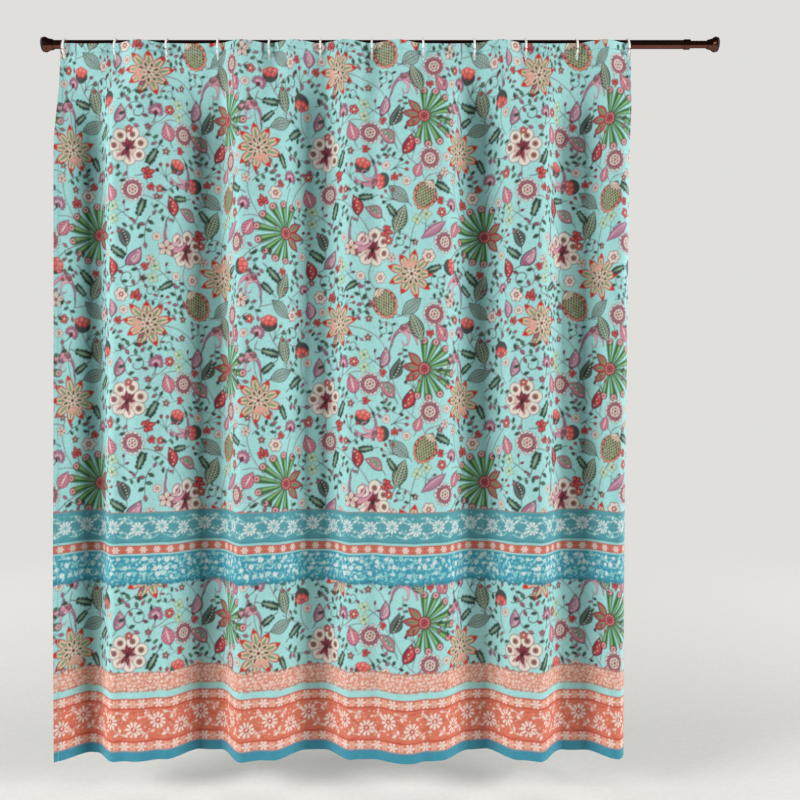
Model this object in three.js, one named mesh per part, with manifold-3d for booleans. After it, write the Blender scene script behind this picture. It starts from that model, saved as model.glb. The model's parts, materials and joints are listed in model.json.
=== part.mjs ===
// A printed fabric shower curtain, hung by twelve plastic rings from a twist-tight tension rod.
// Millimetres, +Z up, +X to the right along the rod, -Y towards a person outside the bath.
// The origin is the centre of the left end pad's outer face, which presses on the wall.
//
// The cloth hangs in vertical folds in front of the rod. It is drawn as flat leaves that fold
// like an accordion: every gap between two rings has one leaf that runs forward to the fold's
// crest, and one that runs back. The leaves turn about upright lines at the rings and crests.
import * as THREE from 'three';
import { mergeVertices } from 'three/addons/utils/BufferGeometryUtils.js';
import Module from 'manifold-3d';

const wasm = await Module();
wasm.setup();

// ---- Curtain ----
const CURTAIN_WIDTH = 1829;       // cut and hemmed width of the flat cloth
const CURTAIN_HEIGHT = 1829;      // top edge to hem
const RING_COUNT = 12;
const HUNG_WIDTH = 1436.6;        // first ring to last ring, as it hangs
const SIDE_MARGIN = 10;           // cloth outside the first and the last buttonhole
const CLOTH_THICKNESS = 1.2;      // two layers at a hem, and the slack of a soft fold
const HOLE_DROP = 31;             // top edge to the wire in the buttonhole
const TOP_BELOW_ROD_AXIS = 2;     // the cloth's top edge hangs this much under the rod's axis
const HINGE_GAP = 3;              // each leaf stops this far from the line it folds about
const GATHER_TURN = 30;           // degrees that each leaf turns from hung to drawn aside

// ---- Rod ----
const ROD_RADIUS = 11;
const TUBE_WALL = 1;
const TUBE_CLEARANCE = 0.8;       // radial room between the inner and the outer tube
const WALL_TO_FIRST_RING = 60;
const ROD_PAST_LAST_RING = 153;   // the outer tube's free length right of the curtain
const INNER_TUBE_SHOWING = 45;    // length of the inner tube between the collar and the cap
const TUBE_OVERLAP = 400;         // length of the inner tube inside the outer tube
const COLLAR_LENGTH = 14;
const COLLAR_WALL = 1.5;
const PAD_RADIUS = 18;
const PAD_THICKNESS = 5;
const CAP_LENGTH = 22;
const CAP_WALL = 2;
const CAP_FLARE = 1;              // the cap's rim stands this far outside its pad
const CAP_FLOOR = 4;
const SCREW_RADIUS = 3;
const SCREW_LENGTH = 72;
const BUSH_LENGTH = 32;
const PLUG_LENGTH = 30;
const PLUG_TO_BUSH = 6;

// ---- Rings ----
const WIRE_WIDTH = 4.8;           // along the rod
const WIRE_DEPTH = 3.2;           // across the ring's plane
const RING_SIDE_ROOM = 7.4;       // room between the rod and the ring's wire on each side
const CLASP_GAP = 1.2;            // between the two beads of the snap clasp
const BEAD_RADIUS = 2.9;
const CLASP_TURN = 0.63;          // where the clasp sits, as a share of a turn from the top

// ---- Fits ----
const TOUCH_GAP = 0.3;            // between pieces that rest on one another
const ROD_TO_CLOTH = 1.5;         // between the rod's front and the cloth
const HOLE_CLEARANCE = 0.9;       // round the wire in a buttonhole

// ---- Worked out from the sizes above ----
const GAPS = RING_COUNT - 1;
const RING_PITCH = HUNG_WIDTH / GAPS;
const LEAF_LENGTH = (CURTAIN_WIDTH - 2 * SIDE_MARGIN) / GAPS / 2;
const FOLD_ANGLE = Math.acos(RING_PITCH / 2 / LEAF_LENGTH);
const CLOTH_Y = -(ROD_RADIUS + ROD_TO_CLOTH + CLOTH_THICKNESS / 2);
const CLOTH_TOP = -TOP_BELOW_ROD_AXIS;
const HOLE_Z = CLOTH_TOP - HOLE_DROP;
const ROUND_SEGMENTS = 24;

// Turns a geometry about the rod's axis. The profile is a list of [distance along X, radius].
function revolve(profile) {
  const points = profile.map(([x, radius]) => new THREE.Vector2(radius, x));
  points.push(points[0].clone());
  const geometry = new THREE.LatheGeometry(points, ROUND_SEGMENTS);
  geometry.rotateZ(-Math.PI / 2);
  return geometry;
}

function toManifold(geometry) {
  const bare = geometry.clone();
  bare.deleteAttribute('normal');
  bare.deleteAttribute('uv');
  const merged = mergeVertices(bare, 1e-4);
  return new wasm.Manifold(new wasm.Mesh({
    numProp: 3,
    vertProperties: merged.attributes.position.array,
    triVerts: new Uint32Array(merged.index.array),
  }));
}

function fromManifold(solid) {
  const mesh = solid.getMesh();
  const geometry = new THREE.BufferGeometry();
  geometry.setAttribute('position', new THREE.BufferAttribute(mesh.vertProperties, 3));
  geometry.setIndex(new THREE.BufferAttribute(mesh.triVerts, 1));
  geometry.computeVertexNormals();
  return geometry;
}

function named(name, geometry, material) {
  const mesh = new THREE.Mesh(geometry, material);
  mesh.name = name;
  return mesh;
}

// ---- Materials ----
const darkBronze = new THREE.MeshStandardMaterial({ color: 0x4a2a20, roughness: 0.22, metalness: 1 });
const whitePlastic = new THREE.MeshStandardMaterial({ color: 0xf4f4f0, roughness: 0.3, metalness: 0 });
const zincSteel = new THREE.MeshStandardMaterial({ color: 0xb9bcc0, roughness: 0.35, metalness: 1 });
const greyNylon = new THREE.MeshStandardMaterial({ color: 0x6d7074, roughness: 0.6, metalness: 0 });
const softRubber = new THREE.MeshStandardMaterial({ color: 0x2a2726, roughness: 0.9, metalness: 0 });
const aquaCloth = new THREE.MeshStandardMaterial({ color: 0x7fcfca, roughness: 0.85, metalness: 0 });

// ---- Tension rod ----
// The pad is a disc with a rounded rim, drawn from the wall at x = 0.
function padGeometry() {
  const rim = 1.2;
  return revolve([
    [0, 0], [0, PAD_RADIUS - rim], [rim, PAD_RADIUS],
    [PAD_THICKNESS, PAD_RADIUS], [PAD_THICKNESS, 0],
  ]);
}

// A bell-shaped cup: its floor is against the pad, and the tube stands in its bore.
function capGeometry(tubeRadius) {
  const bore = tubeRadius + TOUCH_GAP;
  const rim = PAD_RADIUS + CAP_FLARE;
  const start = PAD_THICKNESS + TOUCH_GAP;
  const end = start + CAP_LENGTH;
  return revolve([
    [start, 0], [start, rim], [start + CAP_FLOOR, rim],
    [start + CAP_LENGTH / 2, (rim + bore + CAP_WALL) / 2 - CAP_FLARE],
    [end, bore + CAP_WALL], [end, bore], [start + CAP_FLOOR, bore], [start + CAP_FLOOR, 0],
  ]);
}

function tubeGeometry(start, end, outer, inner) {
  return revolve([[start, inner], [start, outer], [end, outer], [end, inner]]);
}

function rodGroup() {
  const rod = new THREE.Group();
  const capInside = PAD_THICKNESS + TOUCH_GAP + CAP_FLOOR + TOUCH_GAP;
  const outerEnd = WALL_TO_FIRST_RING + HUNG_WIDTH + ROD_PAST_LAST_RING;
  const outerBore = ROD_RADIUS - TUBE_WALL;
  const innerRadius = outerBore - TUBE_CLEARANCE;
  const innerBore = innerRadius - TUBE_WALL;
  const collarEnd = outerEnd + COLLAR_LENGTH / 2;
  const rodLength = collarEnd + INNER_TUBE_SHOWING + CAP_LENGTH + PAD_THICKNESS + TOUCH_GAP;

  rod.add(named('end_pad_left', padGeometry(), softRubber));
  rod.add(named('end_cap_left', capGeometry(ROD_RADIUS), darkBronze));
  rod.add(named('rod_outer_tube', tubeGeometry(capInside, outerEnd, ROD_RADIUS, outerBore), darkBronze));

  // The collar covers the outer tube's cut end. Its lip closes in on the inner tube.
  const collarBore = ROD_RADIUS + TOUCH_GAP;
  const lipStart = outerEnd + TOUCH_GAP;
  rod.add(named('rod_seam_collar', revolve([
    [outerEnd - COLLAR_LENGTH / 2, collarBore],
    [outerEnd - COLLAR_LENGTH / 2, collarBore + COLLAR_WALL],
    [collarEnd, collarBore + COLLAR_WALL],
    [collarEnd, innerRadius + TOUCH_GAP],
    [lipStart, innerRadius + TOUCH_GAP],
    [lipStart, collarBore],
  ]), darkBronze));

  // The sliding half: inner tube with its cap and pad, and the twist lock inside the outer tube.
  const innerStart = outerEnd - TUBE_OVERLAP;
  const right = new THREE.Group();
  right.position.x = rodLength;
  right.rotation.z = Math.PI;
  right.add(named('end_pad_right', padGeometry(), softRubber));
  right.add(named('end_cap_right', capGeometry(innerRadius), darkBronze));
  rod.add(right);
  rod.add(named(
    'rod_inner_tube',
    tubeGeometry(innerStart, rodLength - capInside, innerRadius, innerBore),
    darkBronze,
  ));

  // The plug sits in the inner tube's end and holds the screw. Turning the rod drives the
  // bush along the screw, and the bush grips the outer tube.
  const plugEnd = innerStart + PLUG_LENGTH;
  const bushEnd = innerStart - PLUG_TO_BUSH;
  const screwBore = SCREW_RADIUS + TOUCH_GAP;
  rod.add(named('lock_plug', tubeGeometry(innerStart, plugEnd, innerBore - TOUCH_GAP, screwBore), greyNylon));
  rod.add(named('lock_bush', revolve([
    [bushEnd - BUSH_LENGTH, screwBore],
    [bushEnd - BUSH_LENGTH, outerBore - 2 * TOUCH_GAP - 1],
    [bushEnd - BUSH_LENGTH / 2, outerBore - TOUCH_GAP],
    [bushEnd, outerBore - TOUCH_GAP],
    [bushEnd, screwBore],
  ]), greyNylon));
  rod.add(named('lock_screw', revolve([
    [plugEnd - SCREW_LENGTH, 0], [plugEnd - SCREW_LENGTH, SCREW_RADIUS],
    [plugEnd, SCREW_RADIUS], [plugEnd, 0],
  ]), zincSteel));
  return rod;
}

// ---- Rings ----
// Each ring is an oval in the plane across the rod. Its long axis runs from the wire in the
// buttonhole, through the rod's centre, to where the ring rests on the rod.
const HOLE_DISTANCE = Math.hypot(CLOTH_Y, HOLE_Z);
const REST_DISTANCE = ROD_RADIUS + TOUCH_GAP + WIRE_DEPTH / 2;
const RING_UP = new THREE.Vector2(-CLOTH_Y / HOLE_DISTANCE, -HOLE_Z / HOLE_DISTANCE);
const RING_HALF_HEIGHT = (HOLE_DISTANCE + REST_DISTANCE) / 2;
const RING_HALF_WIDTH = ROD_RADIUS + RING_SIDE_ROOM + WIRE_DEPTH / 2;

function ringPoint(turn) {
  const up = Math.cos(turn * 2 * Math.PI) * RING_HALF_HEIGHT + REST_DISTANCE - RING_HALF_HEIGHT;
  const back = Math.sin(turn * 2 * Math.PI) * RING_HALF_WIDTH;
  return new THREE.Vector3(
    0,
    RING_UP.x * up + RING_UP.y * back,
    RING_UP.y * up - RING_UP.x * back,
  );
}

class RingLine extends THREE.Curve {
  constructor(clasp, halfOpening) {
    super();
    this.start = clasp + halfOpening;
    this.span = 1 - 2 * halfOpening;
  }

  getPoint(t, target = new THREE.Vector3()) {
    return target.copy(ringPoint(this.start + t * this.span));
  }
}

function ringGeometry() {
  const sides = 8;
  const section = new THREE.Shape();
  for (let i = 0; i < sides; i += 1) {
    const angle = (i + 0.5) / sides * 2 * Math.PI;
    const across = Math.cos(angle) * WIRE_WIDTH / 2 / Math.cos(Math.PI / sides);
    const deep = Math.sin(angle) * WIRE_DEPTH / 2 / Math.cos(Math.PI / sides);
    if (i === 0) section.moveTo(across, deep);
    else section.lineTo(across, deep);
  }
  section.closePath();

  const around = Math.PI * (RING_HALF_HEIGHT + RING_HALF_WIDTH);
  const claspHalf = (CLASP_GAP / 2 + BEAD_RADIUS) / around;
  const line = new RingLine(CLASP_TURN, claspHalf);
  const wire = new THREE.ExtrudeGeometry(section, { steps: 24, bevelEnabled: false, extrudePath: line });
  let solid = toManifold(wire);
  for (const end of [0, 1]) {
    const bead = new THREE.SphereGeometry(BEAD_RADIUS, 8, 6);
    bead.translate(...line.getPoint(end).toArray());
    solid = solid.add(toManifold(bead));
  }
  return fromManifold(solid);
}

function ringGroup() {
  const rings = new THREE.Group();
  const geometry = ringGeometry();
  for (let i = 0; i < RING_COUNT; i += 1) {
    const ring = named(`ring_${String(i + 1).padStart(2, '0')}`, geometry, whitePlastic);
    ring.position.x = WALL_TO_FIRST_RING + i * RING_PITCH;
    rings.add(ring);
  }
  return rings;
}

// ---- Cloth leaves ----
// A leaf is drawn along +X from the upright line at its ring, with half of the buttonhole as a
// notch in that edge, wide enough for the wire when the leaf is turned all the way.
function leafGeometry() {
  const gatheredAngle = FOLD_ANGLE + THREE.MathUtils.degToRad(GATHER_TURN);
  const besideWire = WIRE_WIDTH / 2 + HOLE_CLEARANCE;
  const notchDepth = besideWire / Math.cos(gatheredAngle);
  const notchBottom = HOLE_Z - WIRE_DEPTH / 2 - 3 * HOLE_CLEARANCE;
  const notchTop = HOLE_Z + notchDepth + WIRE_DEPTH / 2;
  const near = HINGE_GAP;
  const far = LEAF_LENGTH - HINGE_GAP;
  const bottom = CLOTH_TOP - CURTAIN_HEIGHT;

  const outline = new THREE.Shape([
    new THREE.Vector2(near, bottom),
    new THREE.Vector2(far, bottom),
    new THREE.Vector2(far, CLOTH_TOP),
    new THREE.Vector2(near, CLOTH_TOP),
    new THREE.Vector2(near, notchTop),
    new THREE.Vector2(notchDepth, notchTop),
    new THREE.Vector2(notchDepth, notchBottom),
    new THREE.Vector2(near, notchBottom),
  ]);
  const geometry = new THREE.ExtrudeGeometry(outline, { depth: CLOTH_THICKNESS, bevelEnabled: false });
  geometry.translate(0, 0, -CLOTH_THICKNESS / 2);
  geometry.rotateX(Math.PI / 2);
  return geometry;
}

function clothGroup() {
  const cloth = new THREE.Group();
  cloth.position.y = CLOTH_Y;
  const geometry = leafGeometry();
  for (let gap = 0; gap < GAPS; gap += 1) {
    const start = WALL_TO_FIRST_RING + gap * RING_PITCH;
    const forward = named(`cloth_${String(2 * gap + 1).padStart(2, '0')}`, geometry, aquaCloth);
    forward.position.x = start;
    forward.rotation.z = -FOLD_ANGLE;
    const back = named(`cloth_${String(2 * gap + 2).padStart(2, '0')}`, geometry, aquaCloth);
    back.position.x = start + RING_PITCH;
    back.rotation.z = Math.PI + FOLD_ANGLE;
    cloth.add(forward, back);
  }
  return cloth;
}

const showerCurtain = new THREE.Group();
showerCurtain.name = 'shower_curtain';
showerCurtain.add(rodGroup(), ringGroup(), clothGroup());
export default showerCurtain;
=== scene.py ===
import json
import math

import bmesh
import bpy
import numpy as np
from mathutils import Matrix, Vector


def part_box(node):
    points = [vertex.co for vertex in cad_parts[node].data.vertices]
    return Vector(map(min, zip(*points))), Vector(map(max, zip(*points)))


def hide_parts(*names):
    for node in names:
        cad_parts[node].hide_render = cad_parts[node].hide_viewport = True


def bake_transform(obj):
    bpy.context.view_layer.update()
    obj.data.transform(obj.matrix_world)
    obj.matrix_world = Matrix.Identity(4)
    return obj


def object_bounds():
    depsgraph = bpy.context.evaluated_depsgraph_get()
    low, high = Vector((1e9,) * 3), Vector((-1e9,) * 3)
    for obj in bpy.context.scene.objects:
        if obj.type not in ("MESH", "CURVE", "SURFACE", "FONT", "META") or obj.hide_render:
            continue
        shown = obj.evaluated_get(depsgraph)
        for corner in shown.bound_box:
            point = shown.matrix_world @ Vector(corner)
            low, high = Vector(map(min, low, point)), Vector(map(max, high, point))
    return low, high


bl_info = {
    "name": "Shower Curtain",
    "version": (1, 0, 0),
    "blender": (4, 5, 0),
    "location": "View3D > Sidebar > Curtain",
    "description": "Builds a printed shower curtain, its rings and its tension rod",
    "category": "Object",
}

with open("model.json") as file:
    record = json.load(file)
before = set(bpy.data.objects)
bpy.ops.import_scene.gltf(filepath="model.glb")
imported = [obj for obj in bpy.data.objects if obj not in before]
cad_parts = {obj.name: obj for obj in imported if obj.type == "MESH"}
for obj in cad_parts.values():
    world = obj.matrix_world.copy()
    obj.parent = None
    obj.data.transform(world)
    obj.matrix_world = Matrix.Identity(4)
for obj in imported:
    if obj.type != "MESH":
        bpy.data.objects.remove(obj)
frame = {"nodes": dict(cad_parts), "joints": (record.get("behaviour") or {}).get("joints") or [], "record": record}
CAD_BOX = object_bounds()

# ---- sizes, in metres ----

RINGS = 12
CLOTH_WIDTH = 1.829
CLOTH_HEIGHT = 1.829
SIDE_MARGIN = 0.010
RING_X = [sum(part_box(f"ring_{i + 1:02d}")[side].x for side in (0, 1)) / 2 for i in range(RINGS)]
PITCH = (RING_X[-1] - RING_X[0]) / (RINGS - 1)
TOP_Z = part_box("cloth_01")[1].z
FIRST_HINGE = next(joint for joint in frame["joints"] if joint["name"] == "gather")["pos_m"]
HANG_Y, HOLE_Z = FIRST_HINGE[1], FIRST_HINGE[2]
# How far down the hem hangs: the folds take up a little of the cloth's height.
HANG_LENGTH = 1.812
TOP_HEM = 0.024
# The width within which a hem's step falls away.
HEM_STEP = 0.002

# ---- the stage, in metres and watts ----

VIEW_X, VIEW_Z = 0.9153, -0.9104
VIEW_WIDTH = 2.0488
FLOOR_REACH = 4.5
# Name, place and power of each lamp.
LAMP_SIZE = 3.0
LAMPS = (
    ("left", (-4.2, -2.6, 0.5), 372.0), ("right", (6.0, -2.6, 0.5), 372.0),
    ("behind left", (-3.0, 3.6, 0.5), 130.0), ("behind right", (4.8, 3.6, 0.5), 130.0),
)
# The pale background as the camera sees it, and as it lights the scene.
AIR_SEEN, AIR_LIGHT = 0.8, 0.045

# ---- the print's sizes, in millimetres of flat cloth ----

FIELD_REPEAT = (610, 640)
# The plain ground of the field.
FIELD_DYE = "#97cbc9"
BORDER_TOP = 1199
HEM_DEPTH = 25
SIDE_HEM = 12


# ---- the print: colours per millimetre of cloth, drawn with soft-edged shapes ----

# How light the motifs print: cloth takes a dye duller than the ink looks.
INK = 0.76


def colour(code):
    """An sRGB hex colour as three linear numbers."""
    parts = np.array([int(code[i : i + 2], 16) for i in (1, 3, 5)]) / 255.0
    return np.where(parts <= 0.04045, parts / 12.92, ((parts + 0.055) / 1.055) ** 2.4)


class Ground:
    """A piece of printed cloth seen flat, one cell to a millimetre, which repeats past its edges."""

    def __init__(self, cells):
        self.cells = cells
        self.height, self.width = cells.shape[:2]

    def window(self, at, reach):
        """Cell numbers and local millimetres of the square of cloth around a point."""
        columns = np.arange(int(at[0] - reach), int(at[0] + reach) + 1)
        rows = np.arange(int(at[1] - reach), int(at[1] + reach) + 1)
        x, y = np.meshgrid(columns - at[0], rows - at[1])
        return columns % self.width, rows % self.height, x, y

    def lay(self, columns, rows, share, dye, strength=1.0):
        """Covers cells with a dye, as far as each one's share says."""
        spot = np.ix_(rows, columns)
        share = np.clip(share, 0, 1)[..., None]
        self.cells[spot] = self.cells[spot] * (1 - share) + colour(dye) * strength * share

    def motif(self, draw, at, size=1.0, turn=0.0, flip=False, reach=70.0):
        """Draws one motif: draw gives (share, dye) pairs from local x and y in millimetres."""
        columns, rows, x, y = self.window(at, reach * size)
        x, y = turned(x, y, turn)
        x, y = (-x if flip else x) / size, y / size
        for share, dye in draw(x, y):
            self.lay(columns, rows, share, dye, INK)

    def line(self, points, widths, dye):
        """A drawn line through points, thin at one end and thick at the other."""
        middle = np.mean(points, 0)
        reach = np.abs(np.array(points) - middle).max() + 8
        columns, rows, x, y = self.window(middle, reach)
        path = [(px - middle[0], py - middle[1]) for px, py in points]
        self.lay(columns, rows, stroke(x, y, path, *widths), dye)

    def band(self, top, foot, dye):
        """Covers a level band from top to foot."""
        rows = np.arange(self.height) + 0.5
        share = np.minimum(edge(rows - top), edge(foot - rows))[:, None] * np.ones(self.width)
        self.lay(np.arange(self.width), np.arange(self.height), share, dye)


def edge(depth):
    """How much of a cell lies inside a shape whose border is depth millimetres away."""
    return np.clip(depth + 0.5, 0, 1)


def disc(x, y, at, radius):
    return edge(radius - np.hypot(x - at[0], y - at[1]))


def circle(x, y, at, radius, width):
    return edge(width / 2 - np.abs(np.hypot(x - at[0], y - at[1]) - radius))


def turned(x, y, angle):
    """Distances along and across a direction, given in degrees."""
    angle = math.radians(angle)
    return x * math.cos(angle) + y * math.sin(angle), y * math.cos(angle) - x * math.sin(angle)


def petal(x, y, angle, near, far, half, belly=1.0):
    """A leaf shape from near to far along a direction. A belly above 1 is widest near the tip."""
    along, across = turned(x, y, angle)
    part = np.clip((along - near) / (far - near), 0, 1)
    return edge(half * np.sin(np.pi * part**belly) - np.abs(across) - 0.5)


def finger(x, y, angle, near, far, slim, broad):
    """A club shape with a round end, slim at near and broad at far."""
    along, across = turned(x, y, angle)
    part = np.clip((along - near) / (far - near), 0, 1)
    held = near + part * (far - near)
    return edge(slim + (broad - slim) * part - np.hypot(along - held, across))


def stroke(x, y, points, first, last):
    """A line through points whose half width goes from first to last."""
    share = np.zeros_like(x)
    count = len(points) - 1
    for i in range(count):
        (ax, ay), (bx, by) = points[i], points[i + 1]
        dx, dy = bx - ax, by - ay
        part = np.clip(((x - ax) * dx + (y - ay) * dy) / (dx * dx + dy * dy + 1e-9), 0, 1)
        half = first + (last - first) * (i + part) / count
        share = np.maximum(share, edge(half - np.hypot(x - ax - part * dx, y - ay - part * dy)))
    return share


def bow(start, bend, end, count=10):
    """Points on the curve from start to end that leans towards bend."""
    t = np.linspace(0, 1, count)[:, None]
    start, bend, end = np.array(start), np.array(bend), np.array(end)
    return ((1 - t) ** 2 * start + 2 * t * (1 - t) * bend + t * t * end).tolist()


def stem(x, y, points, first, last):
    """A curved stroke: points are its start, the point that it leans towards, and its end."""
    return stroke(x, y, bow(*points), first, last)


def polar(radius, angle):
    angle = math.radians(angle)
    return radius * math.cos(angle), radius * math.sin(angle)


def laid(shape, x, y, places, *rows):
    """Layers of a shape at each of several angles or points. A row is its sizes and its dye."""
    for where in places:
        for *sizes, dye in rows:
            yield shape(x, y, where, *sizes), dye


def dots(x, y, radius, angles, *rows):
    """Layers of discs at several angles around the middle. A row is a radius and a dye."""
    return laid(disc, x, y, [polar(radius, angle) for angle in angles], *rows)


def star_flower(x, y):
    """The big flower: two whorls of pointed petals with red tips round a green and cream heart."""
    for i in range(9):
        angle, far = i * 40 - 90, (59, 52, 56)[i % 3]
        yield from laid(
            petal, x, y, [angle], (12, far, 10.2, "#7c2f2b"), (12, far - 1.5, 8.9, "#e9836a"),
            (10, far - 7, 7.2, 0.95, "#e6d5b4"), (14, far - 13, 4.4, 0.95, "#9db98f"),
        )
        along, across = turned(x, y, angle)
        tip = edge(along - far + 15 - 0.5 * np.abs(across))
        yield petal(x, y, angle, 12, far - 0.8, 9.6) * tip, "#d3301f"
        yield petal(x, y, angle, 16, far - 8, 1.2), "#5d3a2c"
    yield from laid(
        petal, x, y, range(-70, 290, 40),
        (2, 31, 8.0, 1.2, "#8e4a3c"), (2, 29.5, 6.9, 1.2, "#eecdb6"),
        (9, 25, 3.4, 1.2, "#3f6a4c"), (12, 22, 1.3, 1.2, "#1f3329"),
    )
    yield from laid(petal, x, y, range(90, 450, 60), (0, 16, 5.2, "#f0d6c2"), (5, 14, 2.4, "#4d7a5c"))
    yield disc(x, y, (0, 0), 4), "#7c2f2b"
    for angle in range(60, 130, 10):
        yield petal(x, y, angle, 8, 34, 2.6, 1.4), "#f3b9a6"
        yield petal(x, y, angle + 4, 14, 36, 0.9), "#b6433c"


def lattice_bud(x, y):
    """The bud with a netted green body, a scalloped coral rim and a pale cap."""
    yield petal(x, y, 90, -42, 43, 31), "#5b2a26"
    for turn in range(0, 360, 24):
        angle = math.radians(turn)
        at = (24 * math.sin(angle), 2 + 32 * math.cos(angle))
        for radius, dye in ((6.2, "#8e3b31"), (5.0, "#e59a7e")):
            yield disc(x, y, at, radius) * edge(y + 20), dye
    depth = 23 * np.sqrt(np.clip(1 - (y / 33) ** 2, 0, 1)) - np.abs(x)
    body = edge(depth)
    yield body, "#35523a"
    for lean in (-1, 1):
        net = np.abs((y + lean * x * 1.5 + 200) % 11 - 5.5)
        yield body * edge(1.1 - net), "#d9cfa6"
    yield body * edge(1.0 - np.abs(np.abs(x) - 9 - y * 0.1)) * edge(y + 4), "#8fb07c"
    yield edge(1.2 - np.abs(depth)) * edge(33 - np.abs(y)), "#a33c30"
    yield from laid(
        petal, x, y + 34, range(30, 180, 30), (-3, 22, 4.8, 0.8, "#7d4a3e"), (-3, 20, 3.6, 0.8, "#efe0c8")
    )


def wheel_flower(x, y):
    """The round flower: a beaded white rim, dark red petals and a cream star."""
    yield from dots(x, y, 23.5, range(0, 360, 24), (3.9, "#8a4a4e"), (2.8, "#f4e9e2"))
    yield from laid(
        petal, x, y, range(0, 360, 30), (6, 23, 6.0, 1.3, "#5c2730"), (9, 21, 4.2, 1.3, "#c4788a"),
        (11, 18, 1.7, 1.3, "#7c2632"),
    )
    yield circle(x, y, (0, 0), 10.5, 3.0), "#f3e4d6"
    yield disc(x, y, (0, 0), 9.0), "#6a2831"
    yield from laid(petal, x, y, range(0, 360, 60), (1, 9.5, 2.6, "#f0ded0"))
    yield disc(x, y, (0, 0), 2.4), "#8f2d33"


def star_blossom(x, y):
    """The small flower with five pointed cream petals and red threads."""
    for angle in range(-90, 270, 72):
        yield from laid(
            petal, x, y, [angle], (0, 21, 6.6, "#7b4a4c"), (1, 19.5, 5.2, "#efe0d2"),
            (3, 15, 1.2, "#b8473f"),
        )
        yield stroke(x, y, [(0, 0), polar(13, angle + 36)], 0.5, 0.7), "#6b3236"
        yield disc(x, y, polar(14.5, angle + 36), 1.9), "#a3343a"
    yield disc(x, y, (0, 0), 3.4), "#a33a38"


def scroll_leaf(x, y):
    """The curling pink acanthus leaf on its thin stem."""
    curls = (
        (((0, 0), (0, -36), (26, -46)), 2.6, 6.0, "#8e5873", "#b27d96"),
        (((22, -46), (50, -50), (62, -12)), 9.5, 1.8, "#94536e", "#dd97ab"),
        (((18, -40), (44, -36), (38, -8)), 6.8, 1.6, "#a0607c", "#e9b7c1"),
        (((20, -46), (36, -56), (36, -76)), 7.6, 0.7, "#5d3a42", "#96646c"),
        (((38, -8), (27, -3), (25, -15)), 2.2, 1.1, "#a0607c", "#e9b7c1"),
    )
    for points, first, last, rim, fill in curls:
        yield stem(x, y, points, first, last), rim
        yield stem(x, y, points, first - 1.4, max(0.2, last - 1.2)), fill
    yield stem(x, y, ((4, -22), (22, -50), (52, -30)), 0.6, 0.4), "#7a3f57"
    yield stem(x, y, ((20, -52), (46, -54), (56, -26)), 0.5, 0.4), "#f2cdd4"
    yield stem(x, y, ((0, 24), (-5, 10), (0, 0)), 0.9, 2.4), "#6d5560"


def net_leaf(fill, vein, rim):
    """Gives the drawing of a leaf with a ladder of veins, dark on pale or pale on dark."""

    def draw(x, y):
        body = petal(x, y, -90, -31, 33, 15.5, 0.9)
        yield petal(x, y, -90, -33, 36, 17.5, 0.9), rim
        yield body, fill
        along, across = turned(x, y, -90)
        ribs = np.abs((along - np.abs(across) * 0.9 + 300) % 7.2 - 3.6)
        yield body * edge(0.9 - ribs), vein
        yield body * edge(0.6 - np.abs(np.abs(across) - 7.5 * np.cos(along / 24))), vein
        yield body * edge(0.9 - np.abs(across)), vein
        yield stem(x, y, ((0, 30), (1, 38), (-3, 44)), 1.1, 0.8), "#3d3430"

    return draw


def blossom(x, y):
    """The little red flower."""
    for angle in range(-90, 270, 72):
        yield from dots(x, y, 6.5, [angle], (5.4, "#742a32"), (4.2, "#c5484b"))
        yield disc(x, y, polar(7.5, angle), 1.8), "#e58a80"
    yield disc(x, y, (0, 0), 2.7), "#f1dfc6"


def two_tone_fruit(x, y):
    """The round fruit, coral and lumpy on one side, dark and hatched on the other."""
    whole = disc(x, y, (0, 0), 18)
    yield whole, "#2f3a38"
    hatch = np.abs((x * 0.8 + y * 0.5 + 300) % 3.4 - 1.7)
    yield whole * edge(0.8 - hatch) * edge(y + 2), "#55605c"
    for px, py, r in ((-10, -7, 8.5), (0, -10, 9.5), (10, -7, 8.5), (-5, -1, 6.5), (6, 0, 6.5)):
        yield disc(x, y, (px, py), r), "#b63c3c"
        yield disc(x, y, (px, py - 0.5), r - 1.4), "#e8685f"
        yield disc(x, y, (px - 1, py - 2), r - 5), "#f2938a"
    yield circle(x, y, (0, 0), 18, 1.4) * edge(y), "#1d2524"


def fan_flower(x, y):
    """The fan: green pods with pink ends on one side of a crimson head, red bracts on the other."""
    for i in range(9):
        angle = -98 + i * 24.5
        far = 62 - 6 * abs(i - 4) * 0.35
        yield finger(x, y, angle, 8, far, 2.0, 8.6), "#2b4a33"
        yield finger(x, y, angle, 8, far - 1, 1.4, 7.3), "#4d8a4c"
        yield finger(x, y, angle + 2.5, 16, far - 9, 0.6, 2.6), "#8dbb7a"
        yield finger(x, y, angle - 3, 14, far - 4, 0.5, 1.6), "#2f5c38"
        yield from dots(x, y, far + 1.5, [angle], (6.6, "#a8485a"), (5.2, "#eeb3b4"), (2.3, "#8b2c3a"))
    yield from laid(
        petal, x, y, (140, 178, 216), (6, 48, 10.0, 0.9, "#5f2f33"), (8, 45, 8.0, 0.9, "#c4544d"),
        (12, 40, 4.2, 0.9, "#8a9a76"), (12, 40, 1.1, 0.9, "#4a2a2c"),
    )
    yield disc(x, y, (0, 0), 13), "#7b2433"
    yield from dots(x, y, 9.2, [i * 32.7 for i in range(11)], (2.0, "#e88f8c"))
    yield from dots(x, y, 4.2, range(0, 360, 60), (1.6, "#d65b60"))


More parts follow.
